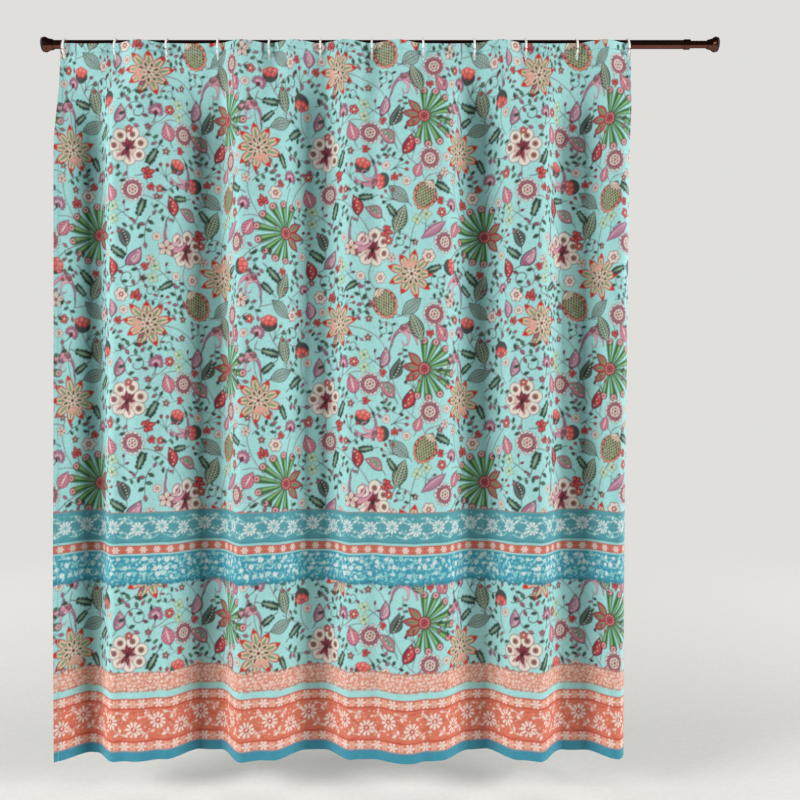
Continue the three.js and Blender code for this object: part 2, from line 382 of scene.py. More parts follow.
def thistle(x, y):
    """The tufted mauve flower."""
    for i in range(9):
        short = abs(i - 4) * 0.8
        yield from laid(
            petal, x, y, [-90 + (i - 4) * 27], (0, 20 - short, 5.0, 1.3, "#6d3a52"),
            (2, 18.6 - short, 3.6, 1.3, "#c78aa5"), (6, 16, 1.1, 1.3, "#7c3150"),
        )
    yield from laid(petal, x, y, range(-158, 12, 34), (0, 10, 3.2, 1.3, "#e3b5c0"))
    yield petal(x, y, 90, -5, 11, 5.5, 0.9), "#6f2f3c"
    yield stem(x, y, ((0, 9), (-1, 16), (-6, 24)), 1.1, 0.8), "#5f4b4c"


def pod(fill, heart, rim="#4e2730"):
    """Gives the drawing of a curved pod or lobed leaf in two colours."""

    def draw(x, y):
        bent = x + y * y * 0.008
        yield petal(bent, y, -90, -24, 24, 13.5, 0.8), rim
        yield petal(bent, y, -90, -22, 22, 11.5, 0.8), fill
        yield petal(bent - 2, y, -90, -17, 18, 6.2, 0.8), heart
        for i in range(5):
            at = (-2 + (i % 2) * 3 - 0.03 * (i * 7 - 14) ** 2 * 0.3, i * 7 - 13)
            yield disc(x, y, at, 1.6), "#f0d9cf"
        yield petal(bent, y, -90, -22, 22, 1.1, 0.8), "#3b2228"
        yield stem(x, y, ((-4, 22), (-5, 30), (-10, 36)), 1.0, 0.8), "#5a4446"

    return draw


def paisley(x, y):
    """The broad pink leaf with dark red bars."""
    body = petal(x, y, -70, -20, 22, 14.5, 0.75)
    yield petal(x, y, -70, -22, 25, 16.0, 0.75), "#7a3a48"
    yield body, "#d98a9c"
    along, across = turned(x, y, -70)
    bars = np.abs((along + np.abs(across) * 0.8 + 300) % 8 - 4)
    yield body * edge(1.0 - bars) * edge(np.abs(across) - 1.2), "#98394d"
    yield petal(x, y, -70, -16, 19, 2.2, 0.8), "#f4dcd6"
    yield stem(x, y, ((-6, 18), (-12, 26), (-10, 34)), 1.0, 0.8), "#5f4b4c"


def cream_flower(x, y):
    """The cream flower with rounded lobes, a brown fruit in each, and a wine-red heart."""
    turns = (-90, -38, 14, 62, 118, 166, 218)
    for rim, dye in ((0, "#6d3f42"), (1.4, "#f1e6da")):
        for angle, far in zip(turns, (33, 31, 29, 25, 25, 29, 31)):
            yield finger(x, y, angle, 6, far, 9 - rim, 15 - rim), dye
    yield disc(x, y, (0, 2), 19), "#e3c0b6"
    for angle in turns:
        yield stroke(x, y, [polar(16, angle + 24), polar(34, angle + 25)], 0.8, 0.5), "#8d6a68"
    fruits = (-90, -38, 14, 166, 218)
    yield from dots(x, y, 30, fruits, (6.6, "#6f3a38"), (4.6, "#c48a76"), (2.8, "#59302f"))
    yield from laid(petal, x, y, (62, 118), (14, 34, 3.6, "#c07f84"))
    for angle, far in ((-64, 25), (-90, 20), (-116, 25), (-20, 19), (200, 19), (70, 27), (106, 27)):
        yield petal(x, y, angle, 0, far, 5.0, 0.9), "#5a1f2c"
        yield petal(x, y, angle, 3, far - 3, 2.4, 0.9), "#a33c50"
    yield disc(x, y, (0, 3), 5), "#4a1a26"


def twig(x, y):
    """A twig with small dark green and mauve leaves."""
    yield stem(x, y, ((-24, 16), (-6, 14), (18, -16)), 1.0, 0.7), "#66504f"
    leaves = (
        (-14, 13, -110, "#37543f"), (-6, 9, 40, "#a8607c"), (2, 2, -130, "#4f7a5c"),
        (9, -5, 10, "#37543f"), (18, -16, -60, "#b5687f"),
    )
    for px, py, angle, dye in leaves:
        yield from laid(petal, x - px, y - py, [angle], (-1, 16, 4.8, "#33292c"), (0, 14.5, 3.5, dye))


def sprig(x, y):
    """The sprig of pale green flowers with dark red buds."""
    yield stem(x, y, ((22, 12), (8, 0), (-12, -12)), 0.9, 0.7), "#5d4a4a"
    yield stem(x, y, ((6, 0), (-4, 8), (-12, 14)), 0.7, 0.6), "#5d4a4a"
    yield stem(x, y, ((10, 2), (14, -8), (10, -18)), 0.7, 0.6), "#5d4a4a"
    for px, py in ((-14, -13), (-14, 14)):
        yield from dots(x - px, y - py, 7, range(20, 380, 90), (6.2, "#7f9f84"), (5.0, "#c9dfbf"))
        yield disc(x, y, (px, py), 3.0), "#5b7a58"
    for px, py, angle in ((10, -19, -80), (24, 14, 20), (16, -4, -20)):
        yield petal(x - px, y - py, angle, -4, 9, 3.6), "#7b2833"


def red_leaf(x, y):
    """The small crimson leaf with five lobes."""
    for angle, far in ((-90, 28), (-50, 21), (-130, 21), (-10, 15), (-170, 15)):
        yield from laid(
            petal, x, y, [angle], (0, far, 6.8, "#6b2028"), (1, far - 2, 5.2, "#cf3f42"),
            (2, far - 5, 1.0, "#f0b6a8"),
        )
    yield stem(x, y, ((0, 0), (1, 12), (-4, 22)), 1.2, 0.8), "#5a3a3c"


def pip(x, y):
    """The tiny dark flower."""
    yield from laid(petal, x, y, range(-90, 270, 72), (0, 10.5, 3.6, "#6a2a34"), (3, 9.0, 1.4, "#d99a95"))
    yield disc(x, y, (0, 0), 2.2), "#e9c9b0"


def rosette(x, y):
    """The small round cream flower with a red rim."""
    yield from dots(x, y, 9.5, range(0, 360, 60), (6.6, "#8c3438"))
    for angle in range(0, 360, 60):
        yield disc(x, y, polar(9.5, angle), 5.1), "#f2e3d8"
        yield petal(x, y, angle, 2, 11, 1.1), "#a84b48"
    yield from laid(disc, x, y, [(0, 0)], (5.6, "#9a3a3e"), (2.8, "#f3d9c0"))


def long_leaf(x, y):
    """The long mauve leaf."""
    yield from laid(petal, x, y, [-35], (-40, 40, 12.5, "#6c4058"), (-38, 38, 10.8, "#b97a98"))
    yield petal(x, y + 2, -35, -32, 34, 5.0), "#d7a5b5"
    yield petal(x, y, -35, -38, 40, 1.2), "#5f3348"


def seed_leaf(x, y):
    """The dark curved leaf with a row of pale seeds."""
    bent = x + 0.009 * y * y
    yield petal(bent, y, -90, -27, 27, 14.5, 0.8), "#2c2f30"
    yield petal(bent, y, -90, -25, 25, 12.4, 0.8), "#5d6f68"
    yield petal(bent - 2, y, -90, -21, 21, 6.5, 0.8), "#39433f"
    yield from laid(disc, bent, y, [(3, i * 7 - 17) for i in range(6)], (1.7, "#d9cdbf"))
    yield stem(x, y, ((-6, 24), (-6, 32), (-12, 38)), 1.0, 0.8), "#5a4446"


def bud_spray(x, y):
    """Three stalks with red buds and one dark berry."""
    buds = ((16, -14, "#c24a4e"), (20, 4, "#c24a4e"), (4, -22, "#a8434e"), (-8, -15, "#33383a"))
    for px, py, dye in buds:
        yield stem(x, y, ((0, 16), (0, 0), (px, py)), 0.8, 0.6), "#5d4a4a"
        yield from laid(petal, x - px, y - py, [-50], (-5, 7, 4.6, "#5f2530"), (-4, 5.5, 3.2, dye))


def curl_vine(x, y):
    """A thin stem that curls at its end, with small dark leaves on both sides."""
    path = [polar(5 + 1.35 * i, 200 - 24 * i) for i in range(20)]
    yield stroke(x, y, path, 1.3, 0.8), "#5f4a4e"
    leaves = (
        (7, 70, "#8e3f52"), (10, -60, "#37543f"), (12, 80, "#4f7a5c"), (14, -70, "#a8505f"),
        (16, 75, "#37543f"), (18, -60, "#37543f"), (19, 10, "#b5687f"),
    )
    for i, lean, dye in leaves:
        px, py = path[i]
        angle = 200 - 24 * i - 90 + lean
        yield from laid(petal, x - px, y - py, [angle], (-1, 17, 4.9, "#33292c"), (0, 15.5, 3.6, dye))


def serrated_leaf(x, y):
    """The dark toothed leaf with a pale vein."""
    yield stem(x, y, ((0, 26), (1, 16), (0, 6)), 1.2, 0.8), "#5f4a4e"
    for i in range(5):
        for angle in (-132, -48):
            yield petal(x, y - 12 + 8 * i, angle, 0, 17 - 2.4 * abs(i - 2), 4.2), "#2b3f35"
    yield from laid(
        petal, x, y, [-90], (-16, 30, 7.0, "#2b3f35"), (-14, 28, 4.6, "#6d9279"), (-14, 26, 1.1, "#d6dcc4")
    )


DARK_LEAF = net_leaf("#37543f", "#c9d2bb", "#22332b")
PALE_LEAF = net_leaf("#a9c4bb", "#4b5b57", "#3e4d4b")
MAUVE_POD = pod("#a87590", "#d7a7b4")
RED_POD = pod("#9a3440", "#d8484a")
PINK_POD = pod("#c9828f", "#7f9a86")

# One repeat of the field, in the order it is printed. After each motif come its places: across
# and down in millimetres, size, turn, and True where it is mirrored.
FIELD = (
    (star_flower, (52, 278, 1.0, -12), (298, 83, 1.0, 78), (507, 600, 1.0, 168)),
    (cream_flower, (402, 534, 1.0, 8), (249, 279, 1.0, 20)),
    (fan_flower, (128, 491, 1.12, 190), (541, 198, 1.12, 8)),
    (lattice_bud, (435, 31, 0.98, -32), (544, 398, 0.92, 28)),
    (wheel_flower, (261, 385, 1.0, 0), (395, 236, 1.0, 12), (556, 306, 1.0, 5), (568, 60, 1.0, 20),
        (597, 516, 1.0, 9)),
    (two_tone_fruit, (79, 83, 1.0, 0), (182, 147, 1.0, 180), (376, 321, 0.95, 12),
        (429, 362, 0.95, -100), (4, 579, 1.0, 74)),
    (scroll_leaf, (58, 215, 0.92, 4, True), (455, 140, 0.92, 10), (58, 18, 0.92, 6, True),
        (345, 474, 0.95, 196, True), (402, 312, 0.85, 150)),
    (DARK_LEAF, (118, 628, 0.92, 22), (121, 150, 0.98, -12), (477, 464, 1.0, 20), (521, 94, 1.0, -24)),
    (PALE_LEAF, (112, 214, 0.88, 70), (112, 46, 0.88, -48), (474, 400, 0.9, -50), (507, 42, 0.88, 50)),
    (paisley, (203, 393, 1.0, -40), (350, 236, 1.0, -35), (588, 107, 1.0, -50), (26, 480, 0.95, 10)),
    (thistle, (143, 349, 1.05, 10), (319, 185, 1.1, 4), (11, 423, 1.05, 25), (49, 108, 1.05, 30)),
    (blossom, (201, 336, 1.0, 0), (354, 179, 1.0, 20), (588, 441, 1.0, 40), (28, 72, 0.95, 10)),
    (MAUVE_POD, (230, 193, 1.0, 10), (438, 170, 1.05, 14), (208, 43, 0.95, -8), (268, 556, 1.15, 40)),
    (RED_POD, (209, 579, 1.05, -12), (363, 421, 1.05, -14), (502, 275, 1.1, 22)),
    (PINK_POD, (407, 436, 1.05, -60), (443, 247, 1.15, -50)),
    (seed_leaf, (240, 502, 0.95, -25), (470, 200, 1.0, 24)),
    (red_leaf, (291, 345, 1.0, 70), (433, 489, 1.0, 110)),
    (rosette, (96, 391, 1.0, 0), (233, 10, 1.0, 10), (423, 607, 0.9, 0), (553, 553, 1.0, 0)),
    (sprig, (227, 442, 1.0, 0), (330, 594, 1.0, 10), (396, 177, 1.0, 0), (542, 468, 0.95, 60)),
    (star_blossom, (345, 530, 1.0, 8), (6, 24, 1.0, 0), (20, 356, 0.62, 10), (596, 338, 0.62, 30),
        (455, 560, 0.6, 0), (306, 560, 0.6, 10)),
    (long_leaf, (566, 487, 0.95, 0)),
    (pip, (60, 378, 1.0, 0), (24, 322, 0.9, 0), (287, 609, 1.0, 20), (345, 285, 1.0, 10),
        (390, 118, 1.0, 0), (392, 70, 1.0, 0), (582, 352, 0.9, 0), (300, 224, 0.9, 0),
        (322, 400, 0.9, 0), (210, 612, 0.9, 0), (516, 520, 0.9, 0), (158, 590, 0.9, 0)),
    (bud_spray, (96, 112, 1.0, 20), (182, 98, 1.0, -10), (340, 344, 1.0, -30), (470, 330, 1.0, 60),
        (30, 590, 0.95, 100), (452, 412, 1.0, -80), (508, 240, 0.9, -40), (186, 500, 0.9, 30),
        (150, 20, 0.9, 120), (330, 30, 0.9, 40)),
    (twig, (252, 138, 1.1, 10), (160, 286, 1.1, 60), (14, 166, 1.0, -30), (296, 486, 1.1, 140),
        (330, 440, 0.9, 80), (62, 540, 1.0, -20, True), (596, 216, 1.0, 70), (376, 20, 1.0, 30, True),
        (160, 566, 1.0, 100), (586, 14, 0.9, 20), (446, 290, 0.9, 10, True), (92, 340, 0.9, -60),
        (488, 168, 0.8, 120), (226, 116, 0.8, 200, True)),
    (red_leaf, (66, 420, 0.9, -20), (268, 20, 0.9, 20)),
    (blossom, (252, 232, 0.8, 0), (330, 380, 0.8, 0), (448, 516, 0.9, 0)),
    (rosette, (150, 60, 0.85, 0)),
    (paisley, (524, 338, 0.8, 40, True)),
    (thistle, (190, 632, 0.8, -40)),
)
# How much bigger the field's motifs are than they are drawn.
FIELD_SIZE = 1.15

# The stems that join the motifs: start, bend and end, in millimetres of the same repeat.
STEMS = (
    ((336, 88), (420, 96), (442, 160)), ((442, 160), (446, 220), (500, 310)),
    ((500, 310), (540, 340), (546, 372)), ((546, 430), (500, 470), (502, 560)),
    ((400, 570), (376, 618), (424, 646)), ((456, 60), (486, 66), (506, 70)),
    ((30, 330), (4, 392), (70, 470)), ((30, 344), (2, 330), (-48, 346)),
    ((-48, 346), (-66, 350), (-68, 372)), ((98, 480), (60, 440), (12, 452)),
    ((143, 372), (120, 430), (132, 470)), ((201, 340), (160, 380), (148, 420)),
    ((319, 208), (300, 240), (282, 262)), ((354, 186), (330, 210), (318, 214)),
    ((395, 210), (360, 196), (332, 214)), ((118, 186), (150, 205), (190, 222)),
    ((79, 104), (96, 150), (150, 200)), ((182, 166), (176, 210), (200, 236)),
    ((60, 40), (90, 34), (118, 24)), ((208, 600), (190, 628), (150, 652)),
    ((270, 400), (330, 392), (382, 470)), ((382, 470), (400, 500), (400, 512)),
    ((10, 560), (30, 530), (90, 510)), ((588, 452), (590, 490), (566, 512)),
    ((49, 128), (30, 170), (52, 232)), ((249, 318), (240, 360), (262, 372)),
    ((541, 212), (520, 260), (508, 312)), ((568, 84), (590, 130), (582, 168)),
)


# Small motifs for the open ground between the others: motif, the room that it needs, and size.
FILLERS = (
    (curl_vine, 26, 1.1), (serrated_leaf, 21, 1.15), (curl_vine, 19, 0.85), (serrated_leaf, 17, 0.95),
    (twig, 15, 1.05), (rosette, 14.5, 0.75), (red_leaf, 14, 0.75),
)
WIDEST_ROOM = 40


def field_ground():
    """One repeat of the floral field."""
    ground = Ground(np.ones((FIELD_REPEAT[1], FIELD_REPEAT[0], 3)) * colour(FIELD_DYE))
    for points in STEMS:
        ground.line(bow(*points, 14), (1.3, 0.9), "#7d6264")
    for draw, *places in FIELD:
        for across, down, size, turn, *flip in places:
            ground.motif(draw, (across, down), size * FIELD_SIZE, turn, bool(flip))
    fill_open_ground(ground)
    return ground.cells


def fill_open_ground(ground):
    """Puts the biggest small motif that fits wherever the cloth is still plain."""
    room = open_room(np.abs(ground.cells - colour(FIELD_DYE)).sum(2) < 0.02)
    count = 0
    while room.max() >= FILLERS[-1][1]:
        down, across = np.unravel_index(np.argmax(room), room.shape)
        fitting = [filler for filler in FILLERS if filler[1] <= room[down, across]]
        draw, needed, size = fitting[count % min(2, len(fitting))]
        ground.motif(draw, (float(across), float(down)), size, count * 137.5, count % 2 == 1, reach=45)
        aside = np.abs(np.arange(ground.width) - across)
        below = np.abs(np.arange(ground.height) - down)
        aside = np.minimum(aside, ground.width - aside)[None, :]
        below = np.minimum(below, ground.height - below)[:, None]
        room = np.minimum(room, np.hypot(aside, below) - needed * 0.9)
        count += 1


def open_room(plain):
    """How far each cell is from the nearest drawn one, in millimetres, up to the widest room."""
    room = np.zeros(plain.shape)
    for step in range(WIDEST_ROOM):
        room = room + plain
        shrunk = plain.copy()
        for axis in (0, 1):
            shrunk &= np.roll(plain, 1, axis) & np.roll(plain, -1, axis)
        if step % 2:
            for shift in ((1, 1), (1, -1), (-1, 1), (-1, -1)):
                shrunk &= np.roll(plain, shift, (0, 1))
        plain = shrunk
    return room


def daisy(petals, centre, heart, radius, count):
    """Gives the drawing of a border daisy with separate round petals."""

    def draw(x, y):
        angles = [i * 360 / count for i in range(count)]
        yield from laid(finger, x, y, angles, (radius * 0.42, radius * 0.84, 1.6, 2.9, petals))
        yield from laid(disc, x, y, [(0, 0)], (radius * 0.3, centre), (radius * 0.14, heart))

    return draw


def leaf_pair(dye):
    """Gives the drawing of small leaves on a stalk."""

    def draw(x, y):
        yield stem(x, y, ((-14, 6), (0, 6), (12, -6)), 0.7, 0.7), dye
        yield petal(x, y, -75, 0, 13, 3.6), dye
        yield petal(x - 4, y, 30, 0, 13, 3.6), dye
        yield petal(x + 8, y - 4, 160, 0, 10, 3.0), dye

    return draw


def dot(dye, radius):
    """Gives the drawing of a round dot."""
    return lambda x, y: laid(disc, x, y, [(0, 0)], (radius, dye))


def tiny_flower(dye):
    """Gives the drawing of five dots in a ring."""
    return lambda x, y: dots(x, y, 3.6, range(0, 360, 72), (2.4, dye))


def tiny_leaf(dye):
    """Gives the drawing of one small leaf."""
    return lambda x, y: laid(petal, x, y, [0], (-7, 7, 3.0, dye))


def small_row(ground, down, height, dye, rim, flower, spacing):
    """A narrow strip of border: rims, then flowers with dots between them."""
    top, foot = down - height / 2, down + height / 2
    ground.band(top, foot, dye)
    count = round(ground.width / spacing)
    for i in range(count):
        at = (i + 0.5) * ground.width / count
        ground.motif(flower, (at, down), height / 26.0, reach=14)
        for side in (-1, 1):
            between = (at + ground.width / count / 2, down + side * height * 0.24)
            ground.motif(dot(rim, 1.5), between, reach=4)
    ground.band(top, top + 1.8, rim)
    ground.band(foot - 1.8, foot, rim)


def scatter(ground, top, foot, dyes, spacing, size, seed, draw):
    """Strews a small motif over a band on a shaken grid."""
    rng = np.random.default_rng(seed)
    for row in range(int((foot - top) / spacing)):
        for column in range(int(ground.width / spacing)):
            at = (
                (column + 0.5 * (row % 2) + rng.uniform(-0.3, 0.3)) * spacing,
                top + (row + 0.5 + rng.uniform(-0.3, 0.3)) * spacing,
            )
            dye = dyes[rng.integers(len(dyes))]
            ground.motif(draw(dye), at, size * rng.uniform(0.7, 1.15), rng.uniform(0, 360), reach=14)


def tooth_edge(ground, level, depth, dye, seed):
    """A ragged border edge: the dye reaches past a level in uneven scallops, up if depth is negative."""
    rng = np.random.default_rng(seed)
    for i in range(int(ground.width / 7)):
        at = (i * 7 + rng.uniform(-2, 2), level + math.copysign(rng.uniform(0, abs(depth)), depth))
        ground.motif(dot(dye, rng.uniform(3.0, 5.0)), at, reach=9)


def daisy_row(ground, start, daisies, leaves, vines):
    """The daisies, leaf pairs and vines of a wide border, five times over.

    Each is a list that begins with how it is drawn. Then come the daisies' places and turns, the
    leaves' places, turns and mirrorings, and the vines' three points.
    """
    (flower, flower_reach), *flower_places = daisies
    (leaf, leaf_size, leaf_reach), *leaf_places = leaves
    vine, *vine_places = vines
    for i in range(5):
        at = i * 122 + start
        for across, down, turn in flower_places:
            ground.motif(flower, (at + across, down), 1, turn, reach=flower_reach)
        for across, down, turn, flip in leaf_places:
            ground.motif(leaf, (at + across, down), leaf_size, turn, flip, reach=leaf_reach)
        for widths, *points in vine_places:
            ground.line(bow(*[(at + across, down) for across, down in points], 9), widths, vine)


def border_ground(field):
    """The printed bands below the main field, down to the hem, drawn over the running field."""
    ground = Ground(np.roll(field, -(BORDER_TOP % FIELD_REPEAT[1]), axis=0))
    # the blue daisy band
    ground.band(0, 3.2, "#a9675f")
    ground.band(3.2, 80, "#4c9099")
    thin = (0.9, 0.7)
    daisy_row(
        ground, 30,
        ((daisy("#eef3ee", "#8fd0cf", "#5aa5b5", 17, 10), 24), (0, 44, 0), (61, 38, 20)),
        (
            (leaf_pair("#dff0ea"), 1.0, 20), (30, 24, 0, False), (32, 58, 180, False),
            (92, 24, 0, True), (94, 58, 180, True),
        ),
        (
            "#a5dbd6", (thin, (14, 16), (40, 12), (52, 26)), (thin, (12, 66), (36, 72), (52, 58)),
            (thin, (74, 20), (92, 10), (112, 28)), (thin, (72, 60), (98, 74), (112, 60)),
        ),
    )
    scatter(ground, 8, 78, ("#cfe8e4", "#8fcdd0"), 15, 0.36, 3, tiny_flower)
    ground.band(77.5, 80, "#2f6f80")
    ground.band(80, 88, "#8fc4c2")
    # the coral flower strip and its pale lines
    small_row(ground, 96.5, 21, "#bc6856", "#a3352e", daisy("#f7ede2", "#f7ede2", "#c2483a", 10, 6), 34)
    ground.band(107, 111, "#9cc9c6")
    # the teal band, ragged at its foot
    ground.band(111, 180, "#338ca0")
    tooth_edge(ground, 180, 5, "#338ca0", 11)
    scatter(ground, 113, 182, ("#7fd0d3", "#58b7c4", "#a9e2df"), 13, 1.15, 5, tiny_leaf)
    scatter(ground, 113, 184, ("#eef6f2", "#cfe9e6", "#8fd3d0"), 19, 1.0, 7, tiny_flower)
    scatter(ground, 113, 184, ("#f2f8f4", "#cfeeea"), 12, 0.5, 9, tiny_leaf)
    # the ragged coral band, with plain cloth under it
    ground.band(446, 476, FIELD_DYE)
    ground.band(411, 450, "#cc8671")
    tooth_edge(ground, 411, -4, "#cc8671", 13)
    tooth_edge(ground, 450, 3, "#cc8671", 15)
    scatter(ground, 408, 453, ("#f8e9dd", "#f3d3c2"), 9, 0.62, 17, tiny_flower)
    scatter(ground, 408, 453, ("#c96a55", "#f6e3d6"), 8, 0.42, 19, tiny_leaf)
    # the coral border between its small-flower strips
    ground.band(474, 605, "#c86e56")
    for down in (486, 593):
        small_row(ground, down, 25, "#cb7760", "#a3382b", daisy("#fbf1e6", "#fbf1e6", "#e9a58e", 12, 6), 43)
        for i in range(14):
            at = ((i + 1.0) * ground.width / 14, down)
            ground.motif(daisy("#f3c3ad", "#c9503b", "#f9e6d8", 8, 6), at, reach=12)
    thick, slim = (0.8, 0.8), (0.7, 0.7)
    daisy_row(
        ground, 20,
        ((daisy("#fbf3ea", "#c8402f", "#f9e6d8", 21, 10), 28), (0, 550, 0), (61, 530, 20)),
        (
            (leaf_pair("#f9e9dc"), 1.15, 24), (28, 514, 0, False), (34, 562, 180, False),
            (88, 560, 0, True), (94, 514, 180, True),
        ),
        (
            "#b53c2d", (thick, (-20, 512), (14, 500), (44, 508)), (thick, (40, 572), (70, 586), (104, 572)),
            (slim, (14, 566), (34, 548), (48, 540)), (slim, (72, 520), (96, 532), (108, 544)),
        ),
    )
    scatter(ground, 502, 578, ("#f6dccb", "#c9503b", "#fbf1e6"), 13, 0.36, 21, tiny_flower)
    for top in (472.5, 498.0, 579.5):
        ground.band(top, top + 2, "#b0392c")
    ground.band(604.0, 606.0, "#c6503f")
    ground.band(606, 640, "#348499")
    return ground.cells


def softened(ground):
    """The print as it soaks into the threads, spread over about two millimetres."""
    for axis in (0, 1):
        ground = (np.roll(ground, 1, axis) + 2 * ground + np.roll(ground, -1, axis)) / 4
    return ground


# ---- how the cloth hangs ----

# Places along the rod are counted in ring gaps from the first ring.
# How far forward the cloth hangs between its valleys: place, millimetres.
RIDGES = (
    (-0.3, -46), (0.0, -60), (0.96, -66), (1.95, -38), (3.4, -66), (4.3, -44), (5.6, -40),
    (6.75, -69), (7.45, -48), (8.6, -42), (9.3, -60), (10.35, -44), (10.8, -50), (11.15, -34),
)
# The valleys between the folds: place, half width, half width of the flat bottom, and millimetres
# short of the deepest. The first lies over a fold line of the frame and is kept shallow, so that
# it can close.
VALLEYS = (
    (0.53, 0.60, 0.06, 20), (2.79, 0.76, 0.20, 0), (4.88, 0.76, 0.18, 4), (8.08, 0.74, 0.16, 0),
    (9.99, 0.78, 0.22, 4),
)
# Faint folds: place, half width and millimetres.
RIPPLES = (
    (6.08, 0.34, 9), (5.55, 0.25, -6), (7.0, 0.2, 5), (1.62, 0.34, -8), (1.2, 0.25, 4),
    (3.86, 0.34, 6), (9.05, 0.34, 5), (10.75, 0.25, 5),
)
# The gaps where the top edge lies nearly flat along the rod. It bows forward in the others.
FLAT_GAPS = (0, 2, 7, 9)
FLAT_BOW, TOP_BOW = 0.004, 0.032
# The furthest back that a valley may lie.
DEEPEST = 0.0262
# The cloth leaves its top edge's line at this depth, and takes so long to reach the fold line.
SETTLE_TOP, SETTLE_LONG, SETTLE_UNEVEN = 0.045, 0.20, 0.07
# How much of its width each side margin still shows from the front, and how far it curls forward.
LEFT_SHOWN, RIGHT_SHOWN, LEFT_CURL = 0.75, 0.6, 0.006
# The right edge turns back over its last ring gaps, and draws in by two widths, top and hem.
TURN_GAPS, TURN_BACK, TURN_TOP, TURN_FOOT = 0.28, 0.018, 0.004, 0.012
# Slow sway of the folds: size, waves across and down, and start.
SWAYS = ((0.0022, 5.3, 4.1, 0.0), (0.0016, 9.7, -6.3, 2.0))
# Each ring pulls the cloth forward below its hole: how far, how wide in ring gaps, and where.
PULL, PULL_GAPS, PULL_DOWN, PULL_LONG = 0.004, 0.10, 0.06, 0.05
# Between the rings the top edge dips a little, less and less further down.
DIP, DIP_LONG = 0.0025, 0.05


def rise(t):
    """A smooth step from 0 to 1."""
    t = np.clip(t, 0, 1)
    return t * t * (3 - 2 * t)


def swell(place, middle, half):
    """A smooth bump, 1 at its middle and 0 past half on either side."""
    return np.cos(np.pi / 2 * np.clip(np.abs(place - middle) / half, 0, 1)) ** 2


def fold_line(place, floor):
    """How far back the cloth hangs well below the rod, with valleys as deep as floor."""
    ends = np.array([p for p, _ in RIDGES])
    depths = np.array([d for _, d in RIDGES]) / 1000
    i = np.clip(np.searchsorted(ends, place) - 1, 0, len(ends) - 2)
    line = depths[i] + (depths[i + 1] - depths[i]) * rise((place - ends[i]) / (ends[i + 1] - ends[i]))
    for middle, half, lift in RIPPLES:
        line = line + lift / 1000 * swell(place, middle, half)
    for middle, half, flat, short in VALLEYS:
        hollow = rise((half - np.abs(place - middle)) / (half - flat))
        line = line * (1 - hollow) + (floor - short / 1000) * hollow
    return line


def top_line(place):
    """How far back the cloth's top edge lies. Each ring holds it against the rod's front."""
    gap = np.clip(np.floor(place), 0, RINGS - 2)
    bow = np.where(np.isin(gap, FLAT_GAPS), FLAT_BOW, TOP_BOW)
    inside = (place > 0) & (place < RINGS - 1)
    return HANG_Y - bow * np.sin(np.pi * (place - gap)) ** 2 * inside


ACROSS = np.linspace(RING_X[0], RING_X[-1], 6001)


def lengths_along(floor):
    """How much cloth lies left of each place across, well below the rod."""
    depth = fold_line((ACROSS - RING_X[0]) / PITCH, floor)
    return np.concatenate([[0], np.cumsum(np.hypot(np.diff(ACROSS), np.diff(depth)))])


def valley_floor():
    """The valley depth that takes up the whole width of the cloth."""
    low, high = 0.0, DEEPEST
    for _ in range(30):
        middle = (low + high) / 2
        if lengths_along(middle)[-1] < CLOTH_WIDTH - 2 * SIDE_MARGIN:
            low = middle
        else:
            high = middle
    return low


FLOOR = valley_floor()
ALONG = lengths_along(FLOOR)
ALONG = SIDE_MARGIN + ALONG / ALONG[-1] * (CLOTH_WIDTH - 2 * SIDE_MARGIN)


def across_of(width):
    """Where along the rod a point of the cloth hangs, from its place across the flat cloth."""
    inner = np.interp(width, ALONG, ACROSS)
    left = np.minimum(width - SIDE_MARGIN, 0) * LEFT_SHOWN
    right = np.maximum(width - (CLOTH_WIDTH - SIDE_MARGIN), 0) * RIGHT_SHOWN
    return inner + left + right


def width_of(across):
    """The place across the flat cloth of a point along the rod."""
    return float(np.interp(across, ACROSS, ALONG))


def hung(width, down):
    """Points of the hanging cloth, from places on the flat cloth in metres."""
    x = across_of(width)
    place = (x - RING_X[0]) / PITCH
    uneven = SETTLE_UNEVEN * np.sin(place * 2.1 + 1.0)
    low = fold_line(place, FLOOR)
    turn = rise((down - SETTLE_TOP) / (SETTLE_LONG + uneven))
    y = top_line(place) * (1 - turn) + low * turn
    # the right edge turns back and draws in towards the hem, and the left one curls forward
    past = np.maximum(place - (RINGS - 1 - TURN_GAPS), 0) / TURN_GAPS
    x = x - past * (TURN_TOP + TURN_FOOT * rise(down / CLOTH_HEIGHT)) * rise(down / 0.3)
    y = y + TURN_BACK * np.minimum(past, 1.3) ** 2 * rise((down - 0.05) / 0.4)
    y = y - LEFT_CURL * np.clip(1 - width / SIDE_MARGIN, 0, 1) ** 1.5
    sway = sum(size * np.sin(place * a + down * b + start) for size, a, b, start in SWAYS)
    y = y + sway * rise((down - 0.1) / 0.3)
    nearest = place - np.round(place)
    pull = np.exp(-((nearest / PULL_GAPS) ** 2)) * np.exp(-(((down - PULL_DOWN) / PULL_LONG) ** 2))
    y = y - PULL * pull * rise((down - 0.046) / 0.02)
    z = TOP_Z - down * HANG_LENGTH / CLOTH_HEIGHT
    z = z - DIP * np.sin(np.pi * place) ** 2 * np.exp(-down / DIP_LONG)
    return np.stack([x, y, z], -1)


def outward(width, down):
    """Which way the printed side faces."""
    step = 0.0008
    sideways = hung(width + step, down) - hung(width - step, down)
    downwards = hung(width, down + step) - hung(width, down - step)
    normal = np.cross(downwards, sideways)
    normal = normal / np.linalg.norm(normal, axis=-1, keepdims=True)
    return normal * np.where(normal[..., 1:2] > 0.25, -1, 1)


# ---- the buttonholes ----

